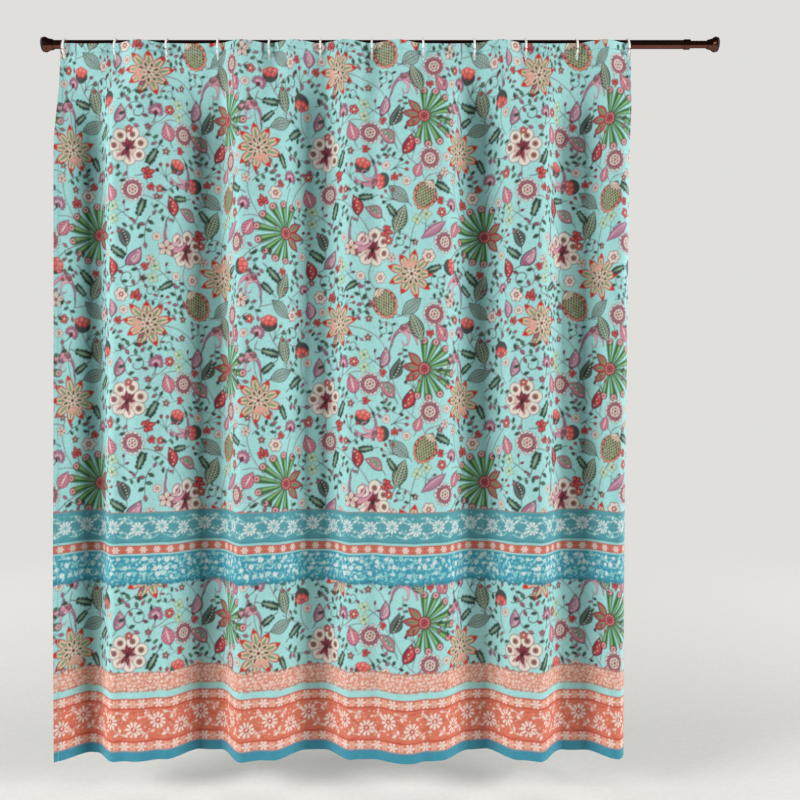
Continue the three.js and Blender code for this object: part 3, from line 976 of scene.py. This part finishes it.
# The hole begins a little above the ring's wire. Its half width is broad at the wire and narrow
# below. Cells next to it are moved aside, less and less within these reaches.
HOLE_TOP = TOP_Z - HOLE_Z - 0.0022
HOLE_LONG = 0.0155
HOLE_BROAD = 0.0033
HOLE_NARROW = 0.0009
HOLE_ENDS = 0.004
SPREAD_ACROSS, SPREAD_DOWN = 0.006, 0.03


def hole_half(down):
    """Half the buttonhole's width at a depth. The ring holds its upper end open."""
    part = np.clip((down - HOLE_TOP) / HOLE_LONG, 0, 1)
    return HOLE_BROAD + (HOLE_NARROW - HOLE_BROAD) * rise((part - 0.3) / 0.6)


# ---- building the cloth in upright strips, one over each fold line of the frame ----

# The print shows faintly on the cloth's pale back.
BACK_DYE = "#cfe6e3"
BACK_PRINT = 0.45
# How much thicker the cloth is where it is turned and sewn.
HEM_THICKER = 0.9


class Strip:
    """One upright strip of the cloth, which hangs from a ring or fills a gap between two."""

    def __init__(self, name, left, right, ring=None, gap=None):
        self.name, self.left, self.right, self.ring, self.gap = name, left, right, ring, gap

    def width_range(self):
        left = 0.0 if self.left is None else width_of(self.left)
        right = CLOTH_WIDTH if self.right is None else width_of(self.right)
        return left, right


def strips():
    """The twelve ring strips and the eleven fold strips between them."""
    out = []
    for i, x in enumerate(RING_X):
        left = x - PITCH / 4 if i > 0 else None
        right = x + PITCH / 4 if i < RINGS - 1 else None
        out.append(Strip(f"cloth_at_ring_{i + 1:02d}", left, right, ring=i))
        if i < RINGS - 1:
            out.append(Strip(f"cloth_fold_{i + 1:02d}", x + PITCH / 4, x + PITCH * 3 / 4, gap=i))
    return out


def odd(number):
    """The odd number of whole cells nearest below, or just above, a number."""
    return int(number) // 2 * 2 + 1


def strip_mesh(strip, settings, grounds):
    """A thin closed shell: a fine printed front and a coarser back, joined round the border."""
    left, right = strip.width_range()
    cell = settings.cell
    if strip.ring is None:
        columns = 2 * round((right - left) / cell / 2)
        knots = ([0, columns], [left, right])
    else:
        middle = width_of(RING_X[strip.ring])
        first = max(3, odd((middle - left) / cell))
        last = max(3, odd((right - middle) / cell))
        columns = first + last
        knots = ([0, first, columns], [left, middle, right])
    rows = 2 * round(CLOTH_HEIGHT / settings.row / 2)
    bm = bmesh.new()
    upright = Matrix.Rotation(math.pi / 2, 4, "X")
    bmesh.ops.create_grid(bm, x_segments=columns, y_segments=rows, size=0.5, matrix=upright)
    bmesh.ops.create_grid(
        bm, x_segments=columns // 2, y_segments=rows // 2, size=0.5,
        matrix=Matrix.Translation((0, 1, 0)) @ upright,
    )
    if strip.ring is not None:
        cut_buttonhole(bm, columns, rows, knots[0][1])
    rim = [e for e in bm.edges if e.is_boundary and e.verts[0].co.y > 0.5]
    bmesh.ops.subdivide_edges(bm, edges=rim, cuts=1)
    for ring in edge_rings(bm):
        bmesh.ops.bridge_loops(bm, edges=ring)
    bmesh.ops.recalc_face_normals(bm, faces=bm.faces)
    mesh = bpy.data.meshes.new(strip.name)
    bm.to_mesh(mesh)
    bm.free()
    shape_cloth(mesh, columns, rows, knots, strip, settings, grounds)
    return mesh


def cut_buttonhole(bm, columns, rows, column):
    """Takes out the cells of the buttonhole, two wide, from both sides of the cloth."""
    top = round(HOLE_TOP / CLOTH_HEIGHT * rows / 2) * 2
    foot = round((HOLE_TOP + HOLE_LONG) / CLOTH_HEIGHT * rows / 2) * 2
    cut = []
    for face in bm.faces:
        place = face.calc_center_median()
        i, j = (place.x + 0.5) * columns, (0.5 - place.z) * rows
        if column - 1 < i < column + 1 and top < j < foot:
            cut.append(face)
    bmesh.ops.delete(bm, geom=cut, context="FACES")


def edge_rings(bm):
    """The open edges, sorted into the outer border and the buttonhole's border."""
    edges = [e for e in bm.edges if e.is_boundary]
    outer = [e for e in edges if max(max(abs(v.co.x), abs(v.co.z)) for v in e.verts) > 0.4999]
    both = set(outer)
    inner = [e for e in edges if e not in both]
    return [ring for ring in (outer, inner) if ring]


def shape_cloth(mesh, columns, rows, knots, strip, settings, grounds):
    """Hangs the flat cells, and gives each point its print, its place on the cloth and its facing."""
    count = len(mesh.vertices)
    flat = np.empty(count * 3)
    mesh.vertices.foreach_get("co", flat)
    flat = flat.reshape(-1, 3)
    width = np.interp((flat[:, 0] + 0.5) * columns, *knots)
    down = (0.5 - flat[:, 2]) * CLOTH_HEIGHT
    behind = flat[:, 1]
    if strip.ring is not None:
        width, down = open_buttonhole(width, down, rows, knots)
    points, facing = hung(width, down), outward(width, down)
    hem = hem_share(width, down)
    thick = settings.thickness / 2 * (1 + HEM_THICKER * hem)
    points = points + facing * (thick * (1 - 2 * behind))[:, None]
    mesh.vertices.foreach_set("co", points.ravel())
    facing = np.where(behind[:, None] > 0.5, -facing, facing)
    mesh.update()
    mesh.shade_smooth()
    mesh.normals_split_custom_set_from_vertices(facing)
    dye = printed(width, down, grounds)
    faint = dye * BACK_PRINT + colour(BACK_DYE) * (1 - BACK_PRINT)
    dye = np.where(behind[:, None] > 0.5, faint, dye)
    attribute = mesh.attributes.new("print", "FLOAT_COLOR", "POINT")
    attribute.data.foreach_set("color", np.column_stack([dye, np.ones(count)]).ravel())
    corners = np.empty(len(mesh.loops), dtype=np.int32)
    mesh.loops.foreach_get("vertex_index", corners)
    uv = mesh.uv_layers.new(name="cloth")
    uv.data.foreach_set("uv", np.column_stack([width, down])[corners].ravel())


def hem_share(width, down):
    """Where the cloth is doubled: the turned top, side and bottom hems."""
    side = np.minimum(width, CLOTH_WIDTH - width)
    depths = (TOP_HEM - down, down - CLOTH_HEIGHT + HEM_DEPTH / 1000, SIDE_HEM / 1000 - side)
    return rise(np.max(depths, axis=0) / HEM_STEP)


def open_buttonhole(width, down, rows, knots):
    """Spreads the cells round the cut so that it is wide where the ring runs and closed below."""
    middle = knots[1][1]
    step = CLOTH_HEIGHT / rows
    top = round(HOLE_TOP / step / 2) * 2 * step
    lifted = np.exp(-(((down - top) / SPREAD_DOWN) ** 2)) * (down > 0.001)
    down = down + (HOLE_TOP - top) * lifted
    aside = width - middle
    edge_width = np.where(aside < 0, middle - knots[1][0], knots[1][2] - middle)
    cells = np.where(aside < 0, knots[0][1], knots[0][2] - knots[0][1])
    cell = edge_width / cells
    above = rise((down - HOLE_TOP + HOLE_ENDS) / HOLE_ENDS)
    below = rise((HOLE_TOP + HOLE_LONG + HOLE_ENDS - down) / HOLE_ENDS)
    past = np.maximum(np.abs(aside) - cell, 0)
    spread = (hole_half(down) - cell) * above * below * np.exp(-((past / SPREAD_ACROSS) ** 2))
    spread = spread * np.clip(np.abs(aside) / cell, 0, 1)
    held = (aside > knots[1][0] - middle + 1e-6) & (aside < knots[1][2] - middle - 1e-6)
    return middle + aside + np.sign(aside) * spread * held, down


def printed(width, down, grounds):
    """The print's colour at places on the flat cloth."""
    field, border = grounds
    across, below = width * 1000, down * 1000
    dye = sampled(field, across, below)
    edging = sampled(border, across, below - BORDER_TOP)
    return np.where((below >= BORDER_TOP)[:, None], edging, dye)


def sampled(ground, across, below):
    """A ground's colour between its cells."""
    height, width = ground.shape[:2]
    i, j = np.floor(across).astype(int), np.floor(below).astype(int)
    a, b = (across - i)[:, None], (below - j)[:, None]
    i0, i1, j0, j1 = i % width, (i + 1) % width, j % height, (j + 1) % height
    upper = ground[j0, i0] * (1 - a) + ground[j0, i1] * a
    lower = ground[j1, i0] * (1 - a) + ground[j1, i1] * a
    return upper * (1 - b) + lower * b


def hang_strip(strip, piece):
    """Bakes a strip's piece's placement into its mesh. Its branches for the end rings and for the other strips do
    nothing.
    """
    if strip.ring == 0:
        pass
    elif strip.ring == RINGS - 1:
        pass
    else:
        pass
    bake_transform(piece)


# ---- materials ----

# Stitches are 3 mm long. They are drawn 4.6 mm long, one to 6.5 mm, so that they show.
STITCH_PITCH = 0.0065
STITCH_HALF = 0.0009
STITCH_GAP = -0.6
THREAD_DYE = "#6fb3b4"
# Depths of the fine relief, in metres.
WEAVE_DEPTH = 0.0006
SATIN_DEPTH = 0.0003
GRAIN_DEPTH = 0.0002


def shade(code):
    """An sRGB hex colour as a shader's four numbers."""
    return (*colour(code), 1.0)


def node(material, kind, *links, **settings):
    """Adds a node. Settings are its own properties or, by name, its inputs' values.
    Links are (output socket, input name or number)."""
    made = material.node_tree.nodes.new(kind)
    for name, value in settings.items():
        if hasattr(made, name):
            setattr(made, name, value)
        else:
            made.inputs[name.replace("_", " ")].default_value = value
    for source, target in links:
        material.node_tree.links.new(source, made.inputs[target])
    return made


def reckoned(material, operation, *terms):
    """The result of a maths node. Its terms are output sockets or numbers."""
    made = node(material, "ShaderNodeMath", operation=operation)
    for place, term in zip(made.inputs, terms):
        if isinstance(term, bpy.types.NodeSocket):
            material.node_tree.links.new(term, place)
        else:
            place.default_value = term
    return made.outputs[0]


def ramp(material, source, *stops):
    """Two colours or greys along a factor: stops are (position, colour)."""
    made = node(material, "ShaderNodeValToRGB", (source, 0))
    for element, (position, value) in zip(made.color_ramp.elements, stops):
        element.position = position
        element.color = value if isinstance(value, tuple) else (value, value, value, 1)
    return made.outputs["Color"]


def new_material(name, **shader):
    """A material with its shader's steady values set."""
    material = bpy.data.materials.new(name)
    material.use_nodes = True
    body = material.node_tree.nodes["Principled BSDF"]
    for key, value in shader.items():
        body.inputs[key.replace("_", " ")].default_value = value
    return material, body


def link(material, source, body, name):
    material.node_tree.links.new(source, body.inputs[name])


def raised(material, body, height, strength, depth):
    """Gives a material's shader a fine relief."""
    bump = node(material, "ShaderNodeBump", (height, "Height"), Strength=strength, Distance=depth)
    link(material, bump.outputs[0], body, "Normal")


def noise(material, place, scale, detail):
    made = node(material, "ShaderNodeTexNoise", (place, "Vector"), Scale=scale, Detail=detail)
    return made.outputs["Fac"]


def stretched(material, place, scale):
    return node(material, "ShaderNodeMapping", (place, 0), Scale=scale).outputs[0]


def on_object(material):
    """Places in the object's own metres."""
    return node(material, "ShaderNodeTexCoord").outputs["Object"]


def printed_polyester():
    """Printed plain-weave polyester: matt, with a faint sheen at a slant and uneven threads."""
    material, body = new_material(
        "printed_polyester", Roughness=0.72, Specular_IOR_Level=0.3, Sheen_Weight=0.12,
        Sheen_Roughness=0.5, IOR=1.45,
    )
    dye = node(material, "ShaderNodeAttribute", attribute_name="print").outputs["Color"]
    place = node(material, "ShaderNodeUVMap", uv_map="cloth").outputs[0]
    # threads are 0.3 mm apart; the slubs are drawn 2 mm wide and 20 mm long so that they show
    upright = noise(material, stretched(material, place, (500, 50, 1)), 1.0, 2.0)
    level = noise(material, stretched(material, place, (50, 500, 1)), 1.0, 2.0)
    threads = reckoned(material, "ADD", upright, level)
    uneven = ramp(material, threads, (0.75, 0.86), (1.0, 1.05))
    dyed = node(
        material, "ShaderNodeMix", (dye, 6), (uneven, 7), data_type="RGBA", blend_type="MULTIPLY"
    )
    dyed.inputs[0].default_value = 1.0
    seam = stitched_lines(material, place)
    sewn = node(material, "ShaderNodeMix", (seam, 0), (dyed.outputs[2], 6), data_type="RGBA")
    sewn.inputs[7].default_value = shade(THREAD_DYE)
    link(material, sewn.outputs[2], body, "Base Color")
    raised(material, body, reckoned(material, "SUBTRACT", threads, seam), 0.18, WEAVE_DEPTH)
    return material


def stitched_lines(material, place):
    """A mask of the stitch rows: under the top edge and inside the side edges and the hem."""
    parts = node(material, "ShaderNodeSeparateXYZ", (place, 0))
    rows = (
        (1, TOP_HEM - 0.001, 0), (1, CLOTH_HEIGHT - HEM_DEPTH / 1000 - 0.001, 0),
        (0, SIDE_HEM / 1000 - 0.001, 1), (0, CLOTH_WIDTH - SIDE_HEM / 1000 + 0.001, 1),
    )
    total = None
    for axis, at, along in rows:
        away = reckoned(material, "SUBTRACT", parts.outputs[axis], at)
        near = reckoned(material, "COMPARE", away, 0.0, STITCH_HALF)
        beat = reckoned(material, "MULTIPLY", parts.outputs[along], 2 * math.pi / STITCH_PITCH)
        dash = reckoned(material, "GREATER_THAN", reckoned(material, "SINE", beat), STITCH_GAP)
        mark = reckoned(material, "MULTIPLY", near, dash)
        total = mark if total is None else reckoned(material, "MAXIMUM", total, mark)
    return total


def stitching_thread():
    """Polyester thread of the buttonholes: close satin stitches across the rim, with painted shade between the
    stitches and a painted highlight on their crowns.
    """
    material, body = new_material("buttonhole_thread", Roughness=0.55, Sheen_Weight=0.2, IOR=1.45)
    stitches = node(
        material, "ShaderNodeTexWave", (on_object(material), 0), Scale=160.0, Distortion=0.6,
        bands_direction="Z",
    ).outputs["Fac"]
    # painted shade and highlight: the stitches' own relief bands, painted dark in the gaps between stitches and
    # light on their crowns
    tone = ramp(material, stitches, (0.0, shade("#7fbcbb")), (1.0, shade("#bfe6e2")))
    link(material, tone, body, "Base Color")
    raised(material, body, stitches, 0.5, SATIN_DEPTH)
    return material


def bronze_plating(settings):
    """Polished dark bronze plating on drawn steel tube: red-brown, with long faint draw marks."""
    material, body = new_material("bronze_plating", Metallic=1.0, Roughness=0.2)
    place = on_object(material)
    dark, light = ((*(v * share for v in settings.bronze), 1.0) for share in (1, 1.35))
    tone = ramp(material, noise(material, place, 22.0, 4.0), (0.3, dark), (0.7, light))
    link(material, tone, body, "Base Color")
    # draw marks 0.1 mm wide, drawn 0.7 mm wide and 60 mm long so that they show
    marks = noise(material, stretched(material, place, (16, 1400, 1400)), 1.0, 3.0)
    link(material, ramp(material, marks, (0.3, 0.14), (0.75, 0.27)), body, "Roughness")
    raised(material, body, marks, 0.06, GRAIN_DEPTH)
    return material


def moulded(name, dark, light, low, high, grain, depth, **shader):
    """A moulded or plated finish: two close tones in soft clouds and a fine even grain."""
    material, body = new_material(name, **shader)
    place = on_object(material)
    clouds = noise(material, place, 60.0, 3.0)
    link(material, ramp(material, clouds, (0.35, shade(dark)), (0.7, shade(light))), body, "Base Color")
    pores = noise(material, place, grain, 2.0)
    link(material, ramp(material, pores, (0.3, low), (0.7, high)), body, "Roughness")
    raised(material, body, pores, depth, GRAIN_DEPTH)
    return material


def ring_plastic():
    """Injection-moulded polypropylene: glossy, cool white, with faint flow clouds."""
    return moulded(
        "moulded_polypropylene", "#e9e9e4", "#f6f6f2", 0.2, 0.34, 900.0, 0.05, IOR=1.49, Coat_Weight=0.15
    )


def pad_rubber():
    """Moulded rubber: matt and dark, dusty in the grain."""
    return moulded("moulded_rubber", "#262424", "#353231", 0.7, 0.9, 1500.0, 0.3, IOR=1.52)


def lock_nylon():
    """Moulded nylon: satin grey."""
    return moulded("moulded_nylon", "#6a6c6e", "#7b7d7f", 0.4, 0.55, 1200.0, 0.15, IOR=1.53)


def screw_zinc():
    """Zinc-plated steel: bright, slightly blue, with a fine crystal bloom."""
    return moulded("zinc_plating", "#aeb1b5", "#c8cbcd", 0.28, 0.42, 1800.0, 0.12, Metallic=1.0)


def stage_paper(centre):
    """Seamless studio paper: flat, pale and matt, thinning out into the pale background."""
    material = moulded("studio_paper", "#dedcd8", "#e3e1dd", 0.85, 0.95, 400.0, 0.02, IOR=1.4)
    around = node(
        material, "ShaderNodeMapping", (on_object(material), 0),
        Scale=(1 / FLOOR_REACH,) * 3, Location=-centre / FLOOR_REACH,
    )
    away = node(material, "ShaderNodeVectorMath", (around.outputs[0], 0), operation="LENGTH")
    thin = ramp(material, away.outputs["Value"], (0.25, 1.0), (0.98, 0.0))
    thin.node.color_ramp.interpolation = "EASE"
    link(material, thin, material.node_tree.nodes["Principled BSDF"], "Alpha")
    return material


# ---- what a user may change ----


class ClothSettings(bpy.types.PropertyGroup):
    cell: bpy.props.FloatProperty(
        name="Cell Width", description="Width of a cell of the printed side", default=0.0023,
        min=0.0015, unit="LENGTH",
    )
    row: bpy.props.FloatProperty(
        name="Cell Height", description="Height of a cell of the printed side", default=0.00235,
        min=0.0015, unit="LENGTH",
    )
    thickness: bpy.props.FloatProperty(
        name="Cloth Thickness", description="Distance between the cloth's two sides", default=0.0006,
        min=0.0002, unit="LENGTH",
    )


class HoleSettings(bpy.types.PropertyGroup):
    thread: bpy.props.FloatProperty(
        name="Stitch Rim", description="Half the width of the sewn rim round a buttonhole",
        default=0.0008, unit="LENGTH",
    )


class RodSettings(bpy.types.PropertyGroup):
    bronze: bpy.props.FloatVectorProperty(
        name="Bronze", description="Colour of the rod's plating", default=tuple(colour("#6b4236")),
        size=3, subtype="COLOR", min=0, max=1,
    )


class StageSettings(bpy.types.PropertyGroup):
    distance: bpy.props.FloatProperty(
        name="Camera Distance", description="From the camera to the rod's plane", default=2.3,
        unit="LENGTH",
    )
    drop: bpy.props.FloatProperty(
        name="Floor Below Hem", description="Gap between the CAD model's foot and the floor",
        default=0.07, unit="LENGTH",
    )


# ---- operators ----


def place_piece(name, mesh, material):
    """An object of a finished mesh in the scene."""
    piece = bpy.data.objects.new(name, mesh)
    bpy.context.scene.collection.objects.link(piece)
    mesh.materials.append(material)
    return piece


class CURTAIN_OT_cloth(bpy.types.Operator):
    """Make the printed cloth in strips, and hide the frame's cloth parts under the fold strips"""

    bl_idname = "curtain.cloth"
    bl_label = "Cloth"

    def execute(self, context):
        settings = context.scene.curtain_cloth
        field = field_ground()
        grounds = (softened(field), softened(border_ground(field)))
        material = printed_polyester()
        for strip in strips():
            mesh = strip_mesh(strip, settings, grounds)
            piece = place_piece(strip.name, mesh, material)
            hang_strip(strip, piece)
            left, right = strip.width_range()
            if strip.gap is not None:
                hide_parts(f"cloth_{2 * strip.gap + 1:02d}", f"cloth_{2 * strip.gap + 2:02d}")
        return {"FINISHED"}


class CURTAIN_OT_buttonholes(bpy.types.Operator):
    """Make the stitched rims of the buttonholes"""

    bl_idname = "curtain.buttonholes"
    bl_label = "Buttonholes"

    def execute(self, context):
        settings = context.scene.curtain_holes
        material = stitching_thread()
        for strip in strips():
            if strip.ring is None:
                continue
            mesh = rim_mesh(strip, settings.thread)
            piece = place_piece(f"buttonhole_{strip.ring + 1:02d}", mesh, material)
            hang_strip(strip, piece)
        return {"FINISHED"}


RIM_POINTS = 36


def rim_mesh(strip, thread):
    """A thread-thick loop round the buttonhole, swept from a closed line."""
    middle = width_of(RING_X[strip.ring])
    turns = np.linspace(0, 2 * np.pi, RIM_POINTS, endpoint=False)
    down = HOLE_TOP + HOLE_LONG * (0.5 - 0.5 * np.cos(turns))
    side = np.where(turns < np.pi, 1, -1)
    half = hole_half(down) * np.sqrt(np.clip(1 - np.cos(turns) ** 8, 0, 1)) + thread * 0.6
    points = hung(middle + side * half, down)
    curve = bpy.data.curves.new(strip.name + "_rim", "CURVE")
    curve.dimensions = "3D"
    curve.bevel_depth = thread
    curve.bevel_resolution = 2
    line = curve.splines.new("POLY")
    line.points.add(len(points) - 1)
    line.points.foreach_set("co", np.column_stack([points, np.ones(len(points))]).ravel())
    line.use_cyclic_u = True
    holder = bpy.data.objects.new(curve.name, curve)
    mesh = bpy.data.meshes.new_from_object(holder)
    bpy.data.objects.remove(holder)
    bpy.data.curves.remove(curve)
    mesh.shade_smooth()
    return mesh


class CURTAIN_OT_hardware(bpy.types.Operator):
    """Give the rod, its ends, its lock and the rings their finishes"""

    bl_idname = "curtain.hardware"
    bl_label = "Rod and Rings"

    def execute(self, context):
        finishes = {
            "bronze": bronze_plating(context.scene.curtain_rod),
            "pad_rubber": pad_rubber(),
            "lock_nylon": lock_nylon(),
            "screw_steel": screw_zinc(),
            "ring_plastic": ring_plastic(),
        }
        for part in frame["record"]["subparts"]:
            finish = finishes.get(part["material_slot"])
            if finish is None:
                continue
            for slot in frame["nodes"][part["node"]].material_slots:
                slot.material = finish
        return {"FINISHED"}


class CURTAIN_OT_stage(bpy.types.Operator):
    """Make the floor, the pale background, the lights and the camera"""

    bl_idname = "curtain.stage"
    bl_label = "Stage"

    def execute(self, context):
        settings = context.scene.curtain_stage
        scene = context.scene
        centre = Vector((VIEW_X, 0, CAD_BOX[0][2] - settings.drop))
        bm = bmesh.new()
        bmesh.ops.create_circle(
            bm, cap_ends=True, segments=96, radius=FLOOR_REACH, matrix=Matrix.Translation(centre)
        )
        mesh = bpy.data.meshes.new("studio_floor")
        bm.to_mesh(mesh)
        bm.free()
        floor = bpy.data.objects.new("studio_floor", mesh)
        scene.collection.objects.link(floor)
        mesh.materials.append(stage_paper(centre))
        camera = bpy.data.cameras.new("camera")
        camera.lens = camera.sensor_width * settings.distance / VIEW_WIDTH
        camera.clip_end = 50.0
        holder = bpy.data.objects.new("camera", camera)
        holder.location = (VIEW_X, -settings.distance, VIEW_Z)
        holder.rotation_euler = (math.pi / 2, 0, 0)
        scene.collection.objects.link(holder)
        scene.camera = holder
        for lamp in LAMPS:
            add_light(*lamp)
        scene.world = studio_air()
        scene.view_settings.view_transform = "Standard"
        return {"FINISHED"}


def studio_air():
    """Dim light from all round, in front of a pale plain background."""
    world = bpy.data.worlds.new("studio")
    world.use_nodes = True
    rays = node(world, "ShaderNodeLightPath")
    strength = node(
        world, "ShaderNodeMapRange", (rays.outputs["Is Camera Ray"], 0), To_Min=AIR_LIGHT, To_Max=AIR_SEEN
    )
    air = world.node_tree.nodes["Background"]
    air.inputs["Color"].default_value = shade("#f7f6f3")
    link(world, strength.outputs[0], air, "Strength")
    return world


def add_light(name, at, power):
    """A square soft light that looks at the middle of the curtain."""
    lamp = bpy.data.lights.new(name, "AREA")
    lamp.size = LAMP_SIZE
    lamp.energy = power
    holder = bpy.data.objects.new(name, lamp)
    holder.location = at
    aim = Vector((VIEW_X, 0, VIEW_Z)) - Vector(at)
    holder.rotation_euler = aim.to_track_quat("-Z", "Y").to_euler()
    holder.visible_camera = False
    bpy.context.scene.collection.objects.link(holder)


class CURTAIN_PT_panel(bpy.types.Panel):
    """Steps and sizes of the curtain"""

    bl_idname = "CURTAIN_PT_panel"
    bl_label = "Shower Curtain"
    bl_space_type = "VIEW_3D"
    bl_region_type = "UI"
    bl_category = "Curtain"

    def draw(self, context):
        for step in STEPS:
            self.layout.operator(step.bl_idname)
        for name in GROUPS:
            group = getattr(context.scene, name)
            for key in group.__class__.__annotations__:
                self.layout.prop(group, key)


STEPS = (CURTAIN_OT_cloth, CURTAIN_OT_buttonholes, CURTAIN_OT_hardware, CURTAIN_OT_stage)
GROUPS = {
    "curtain_cloth": ClothSettings,
    "curtain_holes": HoleSettings,
    "curtain_rod": RodSettings,
    "curtain_stage": StageSettings,
}


def register():
    for kind in (*GROUPS.values(), *STEPS, CURTAIN_PT_panel):
        bpy.utils.register_class(kind)
    for name, kind in GROUPS.items():
        setattr(bpy.types.Scene, name, bpy.props.PointerProperty(type=kind))


def unregister():
    for name in GROUPS:
        delattr(bpy.types.Scene, name)
    for kind in reversed((*GROUPS.values(), *STEPS, CURTAIN_PT_panel)):
        bpy.utils.unregister_class(kind)


def main():
    register()
    bpy.ops.curtain.stage()
    bpy.ops.curtain.cloth()
    bpy.ops.curtain.buttonholes()
    bpy.ops.curtain.hardware()


if __name__ == "__main__":
    main()
